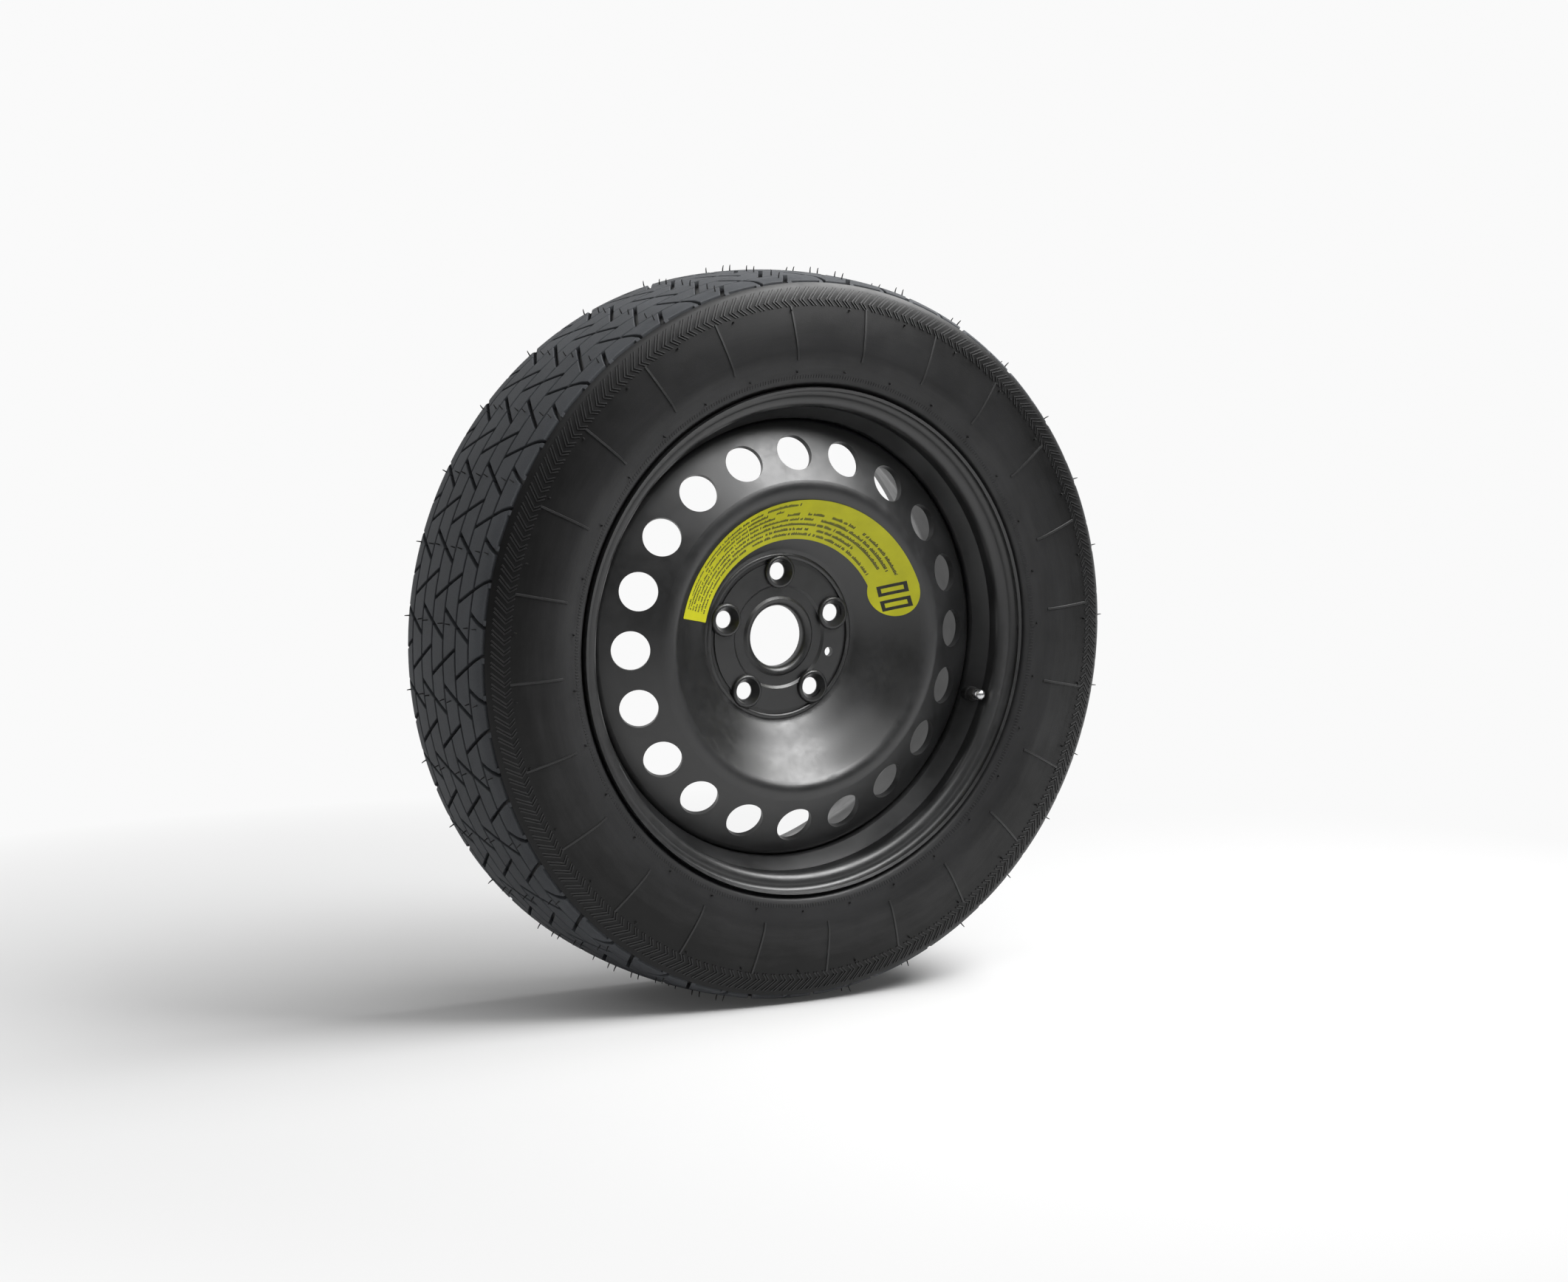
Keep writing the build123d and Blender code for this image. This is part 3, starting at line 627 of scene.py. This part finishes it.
def hair_tree():
    """Tree that stands hairs on a ring, each leaning a little its own way."""
    board, given = new_tree(
        "Hairs on a ring", Count="Int", Start="Float", Radius="Float", Distance="Float",
        Tilt="Float", Bare="Float", Jitter="Float", Seed="Int",
    )
    angle = ring_angle(board, given)
    across = given["Radius"] * angle.maths("SINE")
    upward = given["Radius"] * angle.maths("COSINE")
    place = board.add("ShaderNodeCombineXYZ", (across, given["Distance"], upward))
    points = board.add("GeometryNodePoints", {"Count": given["Count"], "Position": place})
    low = board.add("ShaderNodeCombineXYZ", (0 - given["Jitter"],) * 3)
    high = board.add("ShaderNodeCombineXYZ", (given["Jitter"],) * 3)
    sway = board.add(
        "FunctionNodeRandomValue",
        {"Min": low, "Max": high, "Seed": given["Seed"]}, data_type="FLOAT_VECTOR",
    )
    tilt = board.add("ShaderNodeCombineXYZ", (given["Tilt"], 0.0, 0.0))
    lean = board.add("ShaderNodeVectorMath", (sway, tilt), operation="ADD")
    turned = board.add("ShaderNodeCombineXYZ", (0.0, angle, 0.0))
    stood = board.add(
        "FunctionNodeRotateRotation",
        {"Rotation": turned, "Rotate By": lean}, rotation_space="LOCAL",
    )
    standing = angle.maths("COSINE") > 0 - given["Bare"].maths("COSINE")
    copies = board.add(
        "GeometryNodeInstanceOnPoints",
        {"Points": points, "Selection": standing, "Instance": given["Shape"], "Rotation": stood},
    )
    return end_tree(board, copies, given["Finish"])


def grow(piece, tree, **values):
    """Run a tree on a piece and keep its result as the piece's plain mesh."""
    modifier = piece.modifiers.new(tree.name, "NODES")
    modifier.node_group = tree
    for socket in tree.interface.items_tree:
        if socket.in_out == "INPUT" and socket.name in values:
            modifier[socket.identifier] = values[socket.name]
    ready = piece.evaluated_get(bpy.context.evaluated_depsgraph_get())
    mesh = bpy.data.meshes.new_from_object(ready)
    piece.modifiers.clear()
    piece.data = mesh
    return piece


def join(name, pieces):
    """One piece made of several."""
    with bpy.context.temp_override(active_object=pieces[0], selected_editable_objects=pieces):
        bpy.ops.object.join()
    pieces[0].name = name
    return pieces[0]


def add_block(shape, tyre, tread, left, right, low, high, across):
    """Block of tread between two slot lines and two distances from the middle, with a worn edge."""
    along = BLOCK_ALONG

    def point(u, v, inset, depth):
        y = low + inset + v * (high - low - 2 * inset)
        trim = inset / cos(tread.lean)
        first = left(y) + trim
        s = first + u * (right(y) - trim - first)
        return on_wheel(s / tyre.radius, tread_radius(tyre, y) - depth, y)

    edge = [(u / along, 0.0) for u in range(along)]
    edge += [(1.0, v / across) for v in range(across)]
    edge += [(1 - u / along, 1.0) for u in range(along)]
    edge += [(0.0, 1 - v / across) for v in range(across)]
    rings = []
    for depth in (tread.depth + tread.bevel, tread.bevel):
        rings.append([shape.verts.new(point(u, v, 0.0, depth)) for u, v in edge])
    top = {}
    for row in range(across + 1):
        for column in range(along + 1):
            spot = (column / along, row / across)
            top[column, row] = shape.verts.new(point(*spot, tread.bevel, 0.0))
    rings.append([top[round(u * along), round(v * across)] for u, v in edge])
    for near, far in zip(rings, rings[1:]):
        join_rings(shape, near, far)
    for row in range(across):
        for column in range(along):
            corners = ((column, row), (column + 1, row), (column + 1, row + 1), (column, row + 1))
            shape.faces.new([top[corner] for corner in corners])
    shape.faces.new(rings[0])


def slot_lines(tyre, tread, rib):
    """The two slot lines that cross a rib, as functions of the distance from the middle."""
    pitch = 2 * pi * tyre.radius / tread.pitches
    outer = -tread.ribs / 2 * tread.rib_width
    falling_centre = outer + 2 * tread.rib_width * ((rib + 1) // 2)
    rising_centre = outer + tread.rib_width + 2 * tread.rib_width * (rib // 2)

    def falling(y):
        return (y - falling_centre) * tan(tread.lean)

    def rising(y):
        return pitch / 2 - (y - rising_centre) * tan(tread.lean)

    return falling, rising, pitch


def shifted(line, by):
    """A slot line moved along the tyre."""
    return lambda y: line(y) + by


def tread_pitch(tyre, tread):
    """One pitch of the tread: two blocks on each rib and the bridges of the shoulder grooves."""
    shape = bmesh.new()
    groove = tread.shoulder_line / 2
    falling_half = tread.falling_slot / 2 / cos(tread.lean)
    rising_half = tread.rising_slot / 2 / cos(tread.lean)
    for rib in range(tread.ribs):
        falling, rising, pitch = slot_lines(tyre, tread, rib)
        low = (rib - tread.ribs / 2) * tread.rib_width + tread.rib_line / 2
        high = low + tread.rib_width - tread.rib_line
        low = max(low, groove - tyre.shoulder_y)
        high = min(high, tyre.shoulder_y - groove)
        across = OUTER_RIB_ACROSS if rib in (0, tread.ribs - 1) else RIB_ACROSS
        spans = (
            (shifted(falling, falling_half), shifted(rising, -rising_half)),
            (shifted(rising, rising_half), shifted(falling, pitch - falling_half)),
        )
        for left, right in spans:
            add_block(shape, tyre, tread, left, right, low, high, across)
    for side, rib in ((-1, 0), (1, tread.ribs - 1)):
        falling, rising, pitch = slot_lines(tyre, tread, rib)
        y = side * tyre.shoulder_y
        first, last = (falling(y), rising(y)) if side < 0 else (rising(y), falling(y) + pitch)
        for middle in (first + tread.bridge, last - tread.bridge):
            ends = (middle - tread.bridge / 2, middle + tread.bridge / 2)
            left, right = (shifted(lambda y: 0.0, end) for end in ends)
            add_block(shape, tyre, tread, left, right, y - groove, y + groove, 1)
    return shape


def casing_outline(tyre, tread):
    """Closed section of the tyre under its blocks, as radius and distance."""
    groove = tread.shoulder_line / 2
    floor_steps, lining_steps = 14, 6
    edge = tyre.shoulder_y - groove
    places = [edge * n / floor_steps for n in range(floor_steps + 1)] + [tyre.shoulder_y + groove]
    floor = [(tread_radius(tyre, y) - tread.depth, y) for y in places]
    toe_y = tyre.bead_y - tyre.bead_width
    rise = (tyre.foot_radius - tyre.bead_radius) / 3
    bead = [
        (tyre.bead_radius + 2 * rise, tyre.bead_y),
        (tyre.bead_radius + rise / 2, tyre.bead_y),
        (tyre.bead_radius, tyre.bead_y - rise / 2),
        (tyre.bead_radius, toe_y),
    ]
    inside = (
        (tyre.bead_radius + rise, toe_y),
        (tyre.widest_radius, tyre.half_width - tyre.wall),
        (tyre.upper_radius - tyre.wall, tyre.upper_y - tyre.wall),
        (tyre.lining_radius, 0.0),
    )
    from_toe, to_middle = (0.93, 0.37), (0.0, -1.0)
    lining = curve_through(inside, from_toe, to_middle, lining_steps)
    half = floor + wall_curve(tyre, tread) + bead + lining
    return half + [(radius, -y) for radius, y in reversed(half[1:-1])]


def revolved(outline, steps):
    """Closed shape of an outline turned round the spin axis."""
    shape = bmesh.new()
    rings = []
    for step in range(steps):
        angle = 2 * pi * step / steps
        rings.append([shape.verts.new(on_wheel(angle, radius, y)) for radius, y in outline])
    for near, far in zip(rings, rings[1:] + rings[:1]):
        join_rings(shape, near, far)
    return shape


def hair_shape(radius, height):
    """A thin tapered stem that stands on the origin and bends a little."""
    shape = bmesh.new()
    stations = []
    ring = [2 * pi * side / HAIR_SIDES for side in range(HAIR_SIDES)]
    for share, bend, width in HAIR_RINGS:
        centre = Vector((0.0, -bend * height, share * height))
        stations.append([centre + Vector((cos(a), sin(a), 0.0)) * (radius * width) for a in ring])
    add_strip(shape, stations)
    return shape


def sidewall_finish(tints):
    """Satin rubber with clouds, grain and streaks round the wheel, and a painted sheen that lightens it
    towards the flange.
    """
    box = Paintbox("sidewall_rubber")
    cloud = box.noise(9.0, 5.0, 0.6)
    patch = box.noise(38.0, 4.0, 0.6)
    grain = box.noise(1500.0, 2.0)
    across, _, upward = box.axes(box.place)
    radius = (across * across + upward * upward).maths("SQRT")
    cells_round, cells_outward = 4.0, 130.0
    round_place = box.add(
        "ShaderNodeCombineXYZ",
        (across / radius * cells_round, upward / radius * cells_round, radius * cells_outward),
    )
    streak = box.noise(1.0, 5.0, 0.65, round_place)
    # Painted sheen: the rubber is made lighter towards the flange, as though its bulging wall caught the
    # lamps.
    painted_sheen = box.spread(radius, 232 * MM, 284 * MM, 1.0, 0.0)
    # The clouds, patches and streaks are real dirt and scuffs; the share that grows towards the flange
    # is painted sheen.
    dirt_and_sheen = cloud * 0.45 + patch * 0.15 + streak * 0.35 + painted_sheen * 0.4
    wear_and_sheen = box.spread(dirt_and_sheen, 0.52, 1.0, 0.0, 1.0)
    tone = box.mix(wear_and_sheen, opaque(tints.sidewall, 0.4), opaque(tints.sidewall, 4.2))
    rough = box.spread(patch * 0.5 + streak * 0.5, 0.35, 0.65, 0.48, 0.32)
    return box.surface(
        Base_Color=tone, Roughness=rough, Specular_IOR_Level=0.28,
        Normal=box.bump(grain, 0.22, 0.3 * MM),
    )


def tread_finish(tints):
    """Dry rubber with a fine grain."""
    box = Paintbox("tread_rubber")
    cloud = box.noise(16.0, 4.0, 0.6)
    grain = box.noise(1900.0, 3.0, 0.7)
    speck = box.spread(grain * 0.6 + cloud * 0.4, 0.38, 0.62, 0.0, 1.0)
    tone = box.mix(speck, opaque(tints.tread, 0.75), opaque(tints.tread, 1.25))
    return box.surface(
        Base_Color=tone, Roughness=0.66, Specular_IOR_Level=0.28,
        Normal=box.bump(grain, 0.35, 0.4 * MM),
    )


def paint_finish(tints):
    """Satin black paint on pressed steel, with smudges and a fine orange peel."""
    box = Paintbox("satin_black_paint")
    smudge = box.noise(22.0, 6.0, 0.62)
    fine = box.noise(160.0, 4.0, 0.6)
    peel = box.noise(900.0, 1.0)
    blotch = box.spread(smudge * 0.7 + fine * 0.3, 0.4, 0.62, 0.0, 1.0)
    tone = box.mix(blotch, opaque(tints.paint, 0.8), opaque(tints.paint, 1.3))
    rough = box.spread(blotch, 0.0, 1.0, 0.33, 0.45)
    return box.surface(
        Base_Color=tone, Roughness=rough, Specular_IOR_Level=0.75,
        Normal=box.bump(peel, 0.08, 0.3 * MM),
    )


def label_finish(tints, label):
    """Matt film with rows of dashes and two bold marks in one ink."""
    box = Paintbox("printed_film")
    across, _, upward = box.axes(box.place)
    ring_across = across - (label.inner_shift + label.outer_shift) / 2
    angle = ring_across.maths("ARCTAN2", upward)
    radius = (ring_across * ring_across + upward * upward).maths("SQRT")
    row_step = (label.outer - label.inner) / (label.rows + 1)
    row_place = (radius - (label.inner + row_step / 2)) / row_step
    row = row_place.maths("FLOOR")
    in_row = row_place.maths("FRACT")
    word_dashes, inked, foot = 6.0, 0.78, 0.3
    letter = angle * (label.outer / label.dash)
    word = box.add("ShaderNodeCombineXYZ", ((letter / word_dashes).maths("FLOOR"), row, 0.0))
    cell = box.add("ShaderNodeCombineXYZ", (letter.maths("FLOOR"), row, 1.0))
    gap = box.add("ShaderNodeTexWhiteNoise", (word,), noise_dimensions="3D")
    chance = box.add("ShaderNodeTexWhiteNoise", (cell,), noise_dimensions="3D")
    height = chance * 0.3 + 0.3
    dash = (in_row > foot) * (in_row < foot + height) * (letter.maths("FRACT") < inked)
    dash = dash * (chance > 0.1) * (gap < 0.93)
    # Share of the sweep at which each row ends, from the inner row outwards.
    row_ends = (0.86, 0.74, 0.86, 0.88, 0.9, 0.43, 0.48)
    end_share = box.add(
        "ShaderNodeValToRGB", ((row + 0.5) / len(row_ends),),
        steps=[(number / len(row_ends), end) for number, end in enumerate(row_ends)],
    )
    share = (angle - label.print_start) / label.print_sweep
    in_rows = (row > -0.5) * (row < label.rows - 0.5)
    ink = dash * (share < end_share) * (share > 0.0) * in_rows
    mark_sin, mark_cos = sin(label.mark_angle), cos(label.mark_angle)
    offset_x = across - label.mark_radius * mark_sin
    offset_z = upward - label.mark_radius * mark_cos
    sideways = offset_x * mark_cos - offset_z * mark_sin
    outward = offset_x * mark_sin + offset_z * mark_cos
    for place in (-0.5, 0.5):
        past_side = (sideways - place * label.mark_step).maths("ABSOLUTE") - label.mark_width / 2
        past_end = outward.maths("ABSOLUTE") - label.mark_height / 2
        edge = past_side.maths("MAXIMUM", past_end)
        ink = ink.maths("MAXIMUM", (edge < 0.0) * (edge > -label.mark_stroke))
    fade = box.spread(box.noise(30.0, 4.0, 0.6), 0.35, 0.7, 0.0, 1.0)
    film = box.mix(fade, opaque(tints.label, 0.9), opaque(tints.label, 1.1))
    tone = box.mix(ink, film, opaque(tints.ink))
    grain = box.noise(700.0, 2.0)
    return box.surface(
        Base_Color=tone, Roughness=0.5, Specular_IOR_Level=0.4,
        Normal=box.bump(grain, 0.1, 0.2 * MM),
    )


def plain_finish(name, tint, roughness, cells, metallic=0.0):
    """Finish of a small turned or moulded piece, with a fine grain of so many cells in a metre."""
    box = Paintbox(name)
    grain = box.noise(cells, 3.0)
    speck = box.spread(grain, 0.35, 0.65, 0.0, 1.0)
    tone = box.mix(speck, opaque(tint, 0.88), opaque(tint, 1.08))
    rough = box.spread(grain, 0.3, 0.7, roughness - 0.05, roughness + 0.06)
    return box.surface(
        Base_Color=tone, Roughness=rough, Metallic=metallic,
        Normal=box.bump(grain, 0.06, 0.2 * MM),
    )


def dress(node, material):
    """Give a CAD node its finish."""
    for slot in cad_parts[node].material_slots:
        slot.material = material


class SPAREWHEEL_OT_casing(bpy.types.Operator):
    """Build the tyre's casing with its sidewalls"""

    bl_idname = "spare_wheel.casing"
    bl_label = "Tyre casing"

    def execute(self, context):
        tyre, tread = context.scene.wheel_tyre, context.scene.wheel_tread
        shape = revolved(casing_outline(tyre, tread), CASING_STEPS * tread.pitches)
        casing = new_piece("tyre_casing", shape, sidewall_finish(context.scene.wheel_finishes))
        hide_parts("tyre")
        hang_on_wheel(casing)
        return {"FINISHED"}


class SPAREWHEEL_OT_tread(bpy.types.Operator):
    """Build the tread's blocks and the hairs on them"""

    bl_idname = "spare_wheel.tread"
    bl_label = "Tread"

    def execute(self, context):
        tyre, tread = context.scene.wheel_tyre, context.scene.wheel_tread
        tints = context.scene.wheel_finishes
        rubber = tread_finish(tints)
        blocks = new_piece("tread_blocks", tread_pitch(tyre, tread), rubber, smooth=25)
        grow(blocks, repeat_tree(), Count=tread.pitches, Start=tread.start, Finish=rubber)
        hang_on_wheel(blocks)
        dark = plain_finish("stub_rubber", tints.stub, roughness=0.6, cells=900.0)
        tree = hair_tree()
        rows = []
        for number, y in enumerate(HAIR_ROWS):
            hairs = new_piece("hair_row", hair_shape(tread.hair_radius, tread.hair_height), dark)
            grow(
                hairs, tree, Count=tread.pitches, Start=tread.start, Radius=tread_radius(tyre, y),
                Distance=y, Tilt=0.0, Bare=tread.hair_clear, Jitter=HAIR_LEAN, Seed=number, Finish=dark,
            )
            rows.append(hairs)
        hang_on_wheel(join("tread_hairs", rows))
        return {"FINISHED"}


class SPAREWHEEL_OT_sidewall_forms(bpy.types.Operator):
    """Build the ribs, chevrons, ticks and vent stubs on both sidewalls"""

    bl_idname = "spare_wheel.sidewall_forms"
    bl_label = "Sidewall forms"

    def execute(self, context):
        scene = context.scene
        tyre, tread, wall = scene.wheel_tyre, scene.wheel_tread, scene.wheel_wall
        curve = wall_curve(tyre, tread)
        rubber = bpy.data.materials["sidewall_rubber"]
        dark = bpy.data.materials["stub_rubber"]
        # Painted highlight: the ribs and chevrons get the lighter rubber, as though their ridges catch
        # the light.
        tint = scene.wheel_finishes.highlit_strokes
        highlit_strokes = plain_finish("rubbed_rubber", tint, roughness=0.42, cells=900.0)
        repeat = repeat_tree()

        def ring(name, count, start, width, height, paths, finish):
            """Bars along some paths on both sidewalls, repeated round the tyre."""
            shape = bmesh.new()
            for side in (-1, 1):
                for path in paths:
                    add_ridge(shape, curve, path, side, width, height)
            piece = new_piece(name, shape, finish)
            grow(piece, repeat, Count=count, Start=start, Finish=finish)
            hang_on_wheel(piece)

        steps = 12
        rib_span = wall.rib_outer - wall.rib_inner
        rib = [(0.0, wall.rib_inner + rib_span * n / steps) for n in range(steps + 1)]
        ring(
            "sidewall_ribs", wall.ribs, wall.rib_start, wall.rib_width, wall.rib_height, [rib], highlit_strokes
        )
        reach = wall.chevron_reach / wall.chevron_tip
        inner, tip, outer = wall.chevron_inner, wall.chevron_tip, wall.chevron_outer
        inner_reach = reach * (tip - inner) / (outer - tip)
        strokes = []
        for at in (0.0, wall.stroke_step / tip):
            strokes.append([(at + inner_reach, inner), (at, tip), (at + reach, outer)])
        ring(
            "sidewall_chevrons", wall.chevrons, 0.0, wall.stroke_width, wall.stroke_height, strokes,
            highlit_strokes,
        )
        tick = [(0.0, wall.tick_inner), (0.0, wall.tick_outer)]
        ring("sidewall_ticks", wall.ticks, 0.0, wall.tick_width, wall.tick_height, [tick], rubber)
        stubs = []
        tree = hair_tree()
        for side in (-1, 1):
            for number, radius in enumerate((wall.vent_low, wall.vent_high)):
                foot = wall_point(curve, 0.0, radius, side)
                stub = new_piece("stub_row", hair_shape(wall.vent_radius, wall.vent_height), dark)
                grow(
                    stub, tree, Count=tread.pitches, Start=tread.start, Radius=foot.z, Distance=foot.y,
                    Tilt=-side * pi / 2, Bare=0.0, Jitter=STUB_LEAN, Seed=number + side, Finish=dark,
                )
                stubs.append(stub)
        hang_on_wheel(join("sidewall_vents", stubs))
        return {"FINISHED"}


class SPAREWHEEL_OT_steel(bpy.types.Operator):
    """Press the disc's dish hollow and paint the disc, the rim and the welds"""

    bl_idname = "spare_wheel.steel"
    bl_label = "Painted steel"

    def execute(self, context):
        paint = paint_finish(context.scene.wheel_finishes)
        for node in ("rim", "disc_welds"):
            dress(node, paint)
        disc = hollow_disc("pressed_disc", context.scene.wheel_dish, paint)
        hang_on_wheel(disc)
        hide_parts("disc")
        return {"FINISHED"}


class SPAREWHEEL_OT_label(bpy.types.Operator):
    """Lay the printed label on the dish"""

    bl_idname = "spare_wheel.label"
    bl_label = "Label"

    def execute(self, context):
        label = context.scene.wheel_label
        shape = label_film(label, context.scene.wheel_dish)
        film = new_piece("label_film", shape, label_finish(context.scene.wheel_finishes, label))
        hang_on_wheel(film)
        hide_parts("label")
        return {"FINISHED"}


class SPAREWHEEL_OT_valve(bpy.types.Operator):
    """Finish the pieces of the valve and put a merged copy in place of its spring"""

    bl_idname = "spare_wheel.valve"
    bl_label = "Valve"

    def execute(self, context):
        tints = context.scene.wheel_finishes
        rubber = plain_finish("valve_rubber", tints.valve, roughness=0.5, cells=900.0)
        brass = plain_finish("turned_brass", tints.brass, roughness=0.3, cells=1400.0, metallic=1.0)
        plate = plain_finish("plated_cap", tints.cap, roughness=0.28, cells=500.0, metallic=1.0)
        for node in ("valve_stem", "core_seal", "cap_seal", "core_gasket"):
            dress(node, rubber)
        for node in ("valve_insert", "core_plug", "core_barrel", "core_pin", "core_cup"):
            dress(node, brass)
        dress("valve_cap", plate)
        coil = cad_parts["core_spring"]
        shape = bmesh.new()
        shape.from_mesh(coil.data)
        shape.transform(coil.matrix_world)
        bmesh.ops.remove_doubles(shape, verts=shape.verts, dist=MERGE)
        spring = new_piece("valve_spring", shape, plate)
        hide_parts("core_spring")
        reach = sorted((point.co for point in spring.data.vertices), key=PRESS.dot)
        reach[-1].project(PRESS)
        reach[0].project(PRESS)
        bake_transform(spring)
        return {"FINISHED"}


def area_lamp(name, place, target, width, height, watts):
    """Soft rectangular lamp that looks at a point."""
    data = bpy.data.lights.new(name, "AREA")
    data.shape = "RECTANGLE"
    data.size = width
    data.size_y = height
    data.energy = watts
    lamp = bpy.data.objects.new(name, data)
    lamp.location = place
    lamp.rotation_euler = (Vector(target) - Vector(place)).to_track_quat("-Z", "Y").to_euler()
    bpy.context.scene.collection.objects.link(lamp)


def background_share(board, mirrored):
    """How much of the background a ray shows: all to the camera, a share in gloss and through glass."""
    path = board.add("ShaderNodeLightPath").socket.node.outputs
    camera, glossy, through = (
        Wire(board, path[name]) for name in ("Is Camera Ray", "Is Glossy Ray", "Is Transmission Ray")
    )
    seen = camera.maths("MAXIMUM", glossy).maths("MAXIMUM", through)
    return seen * camera.maths("MAXIMUM", mirrored)


def floor_finish(pale):
    """Cloth that keeps the wheel's shadow and turns into the background further off."""
    box = Paintbox("pale_floor")
    cloth = box.add("ShaderNodeBsdfDiffuse", (opaque(pale, CLOTH_SHARE),))
    glow = box.add("ShaderNodeEmission", (opaque(pale), 1.0))
    away = box.add("ShaderNodeVectorMath", (box.place,), output="Value", operation="LENGTH")
    cloth_until, white_from = 0.1, 1.2
    far = box.spread(away, cloth_until, white_from, 0.0, 1.0)
    front, behind, dimmest = -1.4, 0.2, 0.15
    mirrored = box.spread(box.axes(box.place)[1], front, behind, dimmest, 1.0)
    shown = background_share(box, mirrored) * far * far
    lit = box.add("ShaderNodeMixShader", (shown, cloth, glow))
    box.add("ShaderNodeOutputMaterial", (lit,))
    return box.material


def pale_world(pale):
    """White background, mirrored less on the camera's side, and a dim light from all sides."""
    world = bpy.data.worlds.new("studio")
    world.use_nodes = True
    world.node_tree.nodes.clear()
    board = Board(world.node_tree)
    fill = board.add("ShaderNodeBackground", (opaque(pale), FILL))
    seen = board.add("ShaderNodeBackground", (opaque(pale), 1.0))
    toward = board.add("ShaderNodeTexCoord", output="Generated")
    front, behind = -0.2, 0.7
    mirrored = board.spread(board.axes(toward)[1], front, behind, 0.0, 1.0)
    sky = board.add("ShaderNodeMixShader", (background_share(board, mirrored), fill, seen))
    board.add("ShaderNodeOutputWorld", (sky,))
    return world


def photo_camera(target):
    """Camera that looks at a point from where the photograph was taken."""
    flat = cos(CAMERA_RISE)
    back = Vector((sin(CAMERA_TURN) * flat, -cos(CAMERA_TURN) * flat, sin(CAMERA_RISE)))
    data = bpy.data.cameras.new("camera")
    data.sensor_width = CAMERA_SENSOR
    data.lens = CAMERA_LENS
    data.shift_x, data.shift_y = (shift / PHOTO_WIDTH for shift in CAMERA_SHIFT)
    camera = bpy.data.objects.new("camera", data)
    camera.location = target + back * CAMERA_AWAY
    camera.rotation_euler = (-back).to_track_quat("-Z", "Y").to_euler()
    bpy.context.scene.collection.objects.link(camera)
    return camera


class SPAREWHEEL_OT_stage(bpy.types.Operator):
    """Set up the floor, the light and the camera"""

    bl_idname = "spare_wheel.stage"
    bl_label = "Stage"

    def execute(self, context):
        scene = context.scene
        pale = scene.wheel_finishes.floor
        scene.view_settings.view_transform = "Standard"
        shape = bmesh.new()
        bmesh.ops.create_grid(shape, x_segments=1, y_segments=1, size=FLOOR_HALF)
        for corner in shape.verts:
            corner.co.z = CAD_BOX[0].z
        floor = new_piece("floor", shape, floor_finish(pale))
        scene.world = pale_world(pale)
        for name, lamp in LAMPS.items():
            area_lamp(name, *lamp)
        scene.camera = photo_camera(Vector((0.0, scene.wheel_dish.depth, 0.0)))
        return {"FINISHED"}


GROUPS = {
    "wheel_tyre": TyreSizes,
    "wheel_tread": TreadSizes,
    "wheel_wall": WallSizes,
    "wheel_dish": DishSizes,
    "wheel_label": LabelSizes,
    "wheel_finishes": Finishes,
}
OPERATORS = (
    SPAREWHEEL_OT_casing,
    SPAREWHEEL_OT_tread,
    SPAREWHEEL_OT_sidewall_forms,
    SPAREWHEEL_OT_steel,
    SPAREWHEEL_OT_label,
    SPAREWHEEL_OT_valve,
    SPAREWHEEL_OT_stage,
)


class SPAREWHEEL_PT_panel(bpy.types.Panel):
    """Sizes, colours and steps of the spare wheel"""

    bl_idname = "SPAREWHEEL_PT_panel"
    bl_label = "Spare wheel"
    bl_space_type = "VIEW_3D"
    bl_region_type = "UI"
    bl_category = "Spare wheel"

    def draw(self, context):
        for name in GROUPS:
            group = getattr(context.scene, name)
            for size in group.__annotations__:
                self.layout.prop(group, size)
        for operator in OPERATORS:
            self.layout.operator(operator.bl_idname)


def register():
    """Register the groups, the operators and the panel."""
    for group in GROUPS.values():
        bpy.utils.register_class(group)
    for name, group in GROUPS.items():
        setattr(bpy.types.Scene, name, PointerProperty(type=group))
    for operator in OPERATORS:
        bpy.utils.register_class(operator)
    bpy.utils.register_class(SPAREWHEEL_PT_panel)


def unregister():
    """Take back what register did."""
    bpy.utils.unregister_class(SPAREWHEEL_PT_panel)
    for operator in reversed(OPERATORS):
        bpy.utils.unregister_class(operator)
    for name, group in GROUPS.items():
        delattr(bpy.types.Scene, name)
        bpy.utils.unregister_class(group)


def main():
    """Register the steps and build every piece."""
    register()
    bpy.ops.spare_wheel.casing()
    bpy.ops.spare_wheel.tread()
    bpy.ops.spare_wheel.sidewall_forms()
    bpy.ops.spare_wheel.steel()
    bpy.ops.spare_wheel.label()
    bpy.ops.spare_wheel.valve()
    bpy.ops.spare_wheel.stage()


if __name__ == "__main__":
    main()
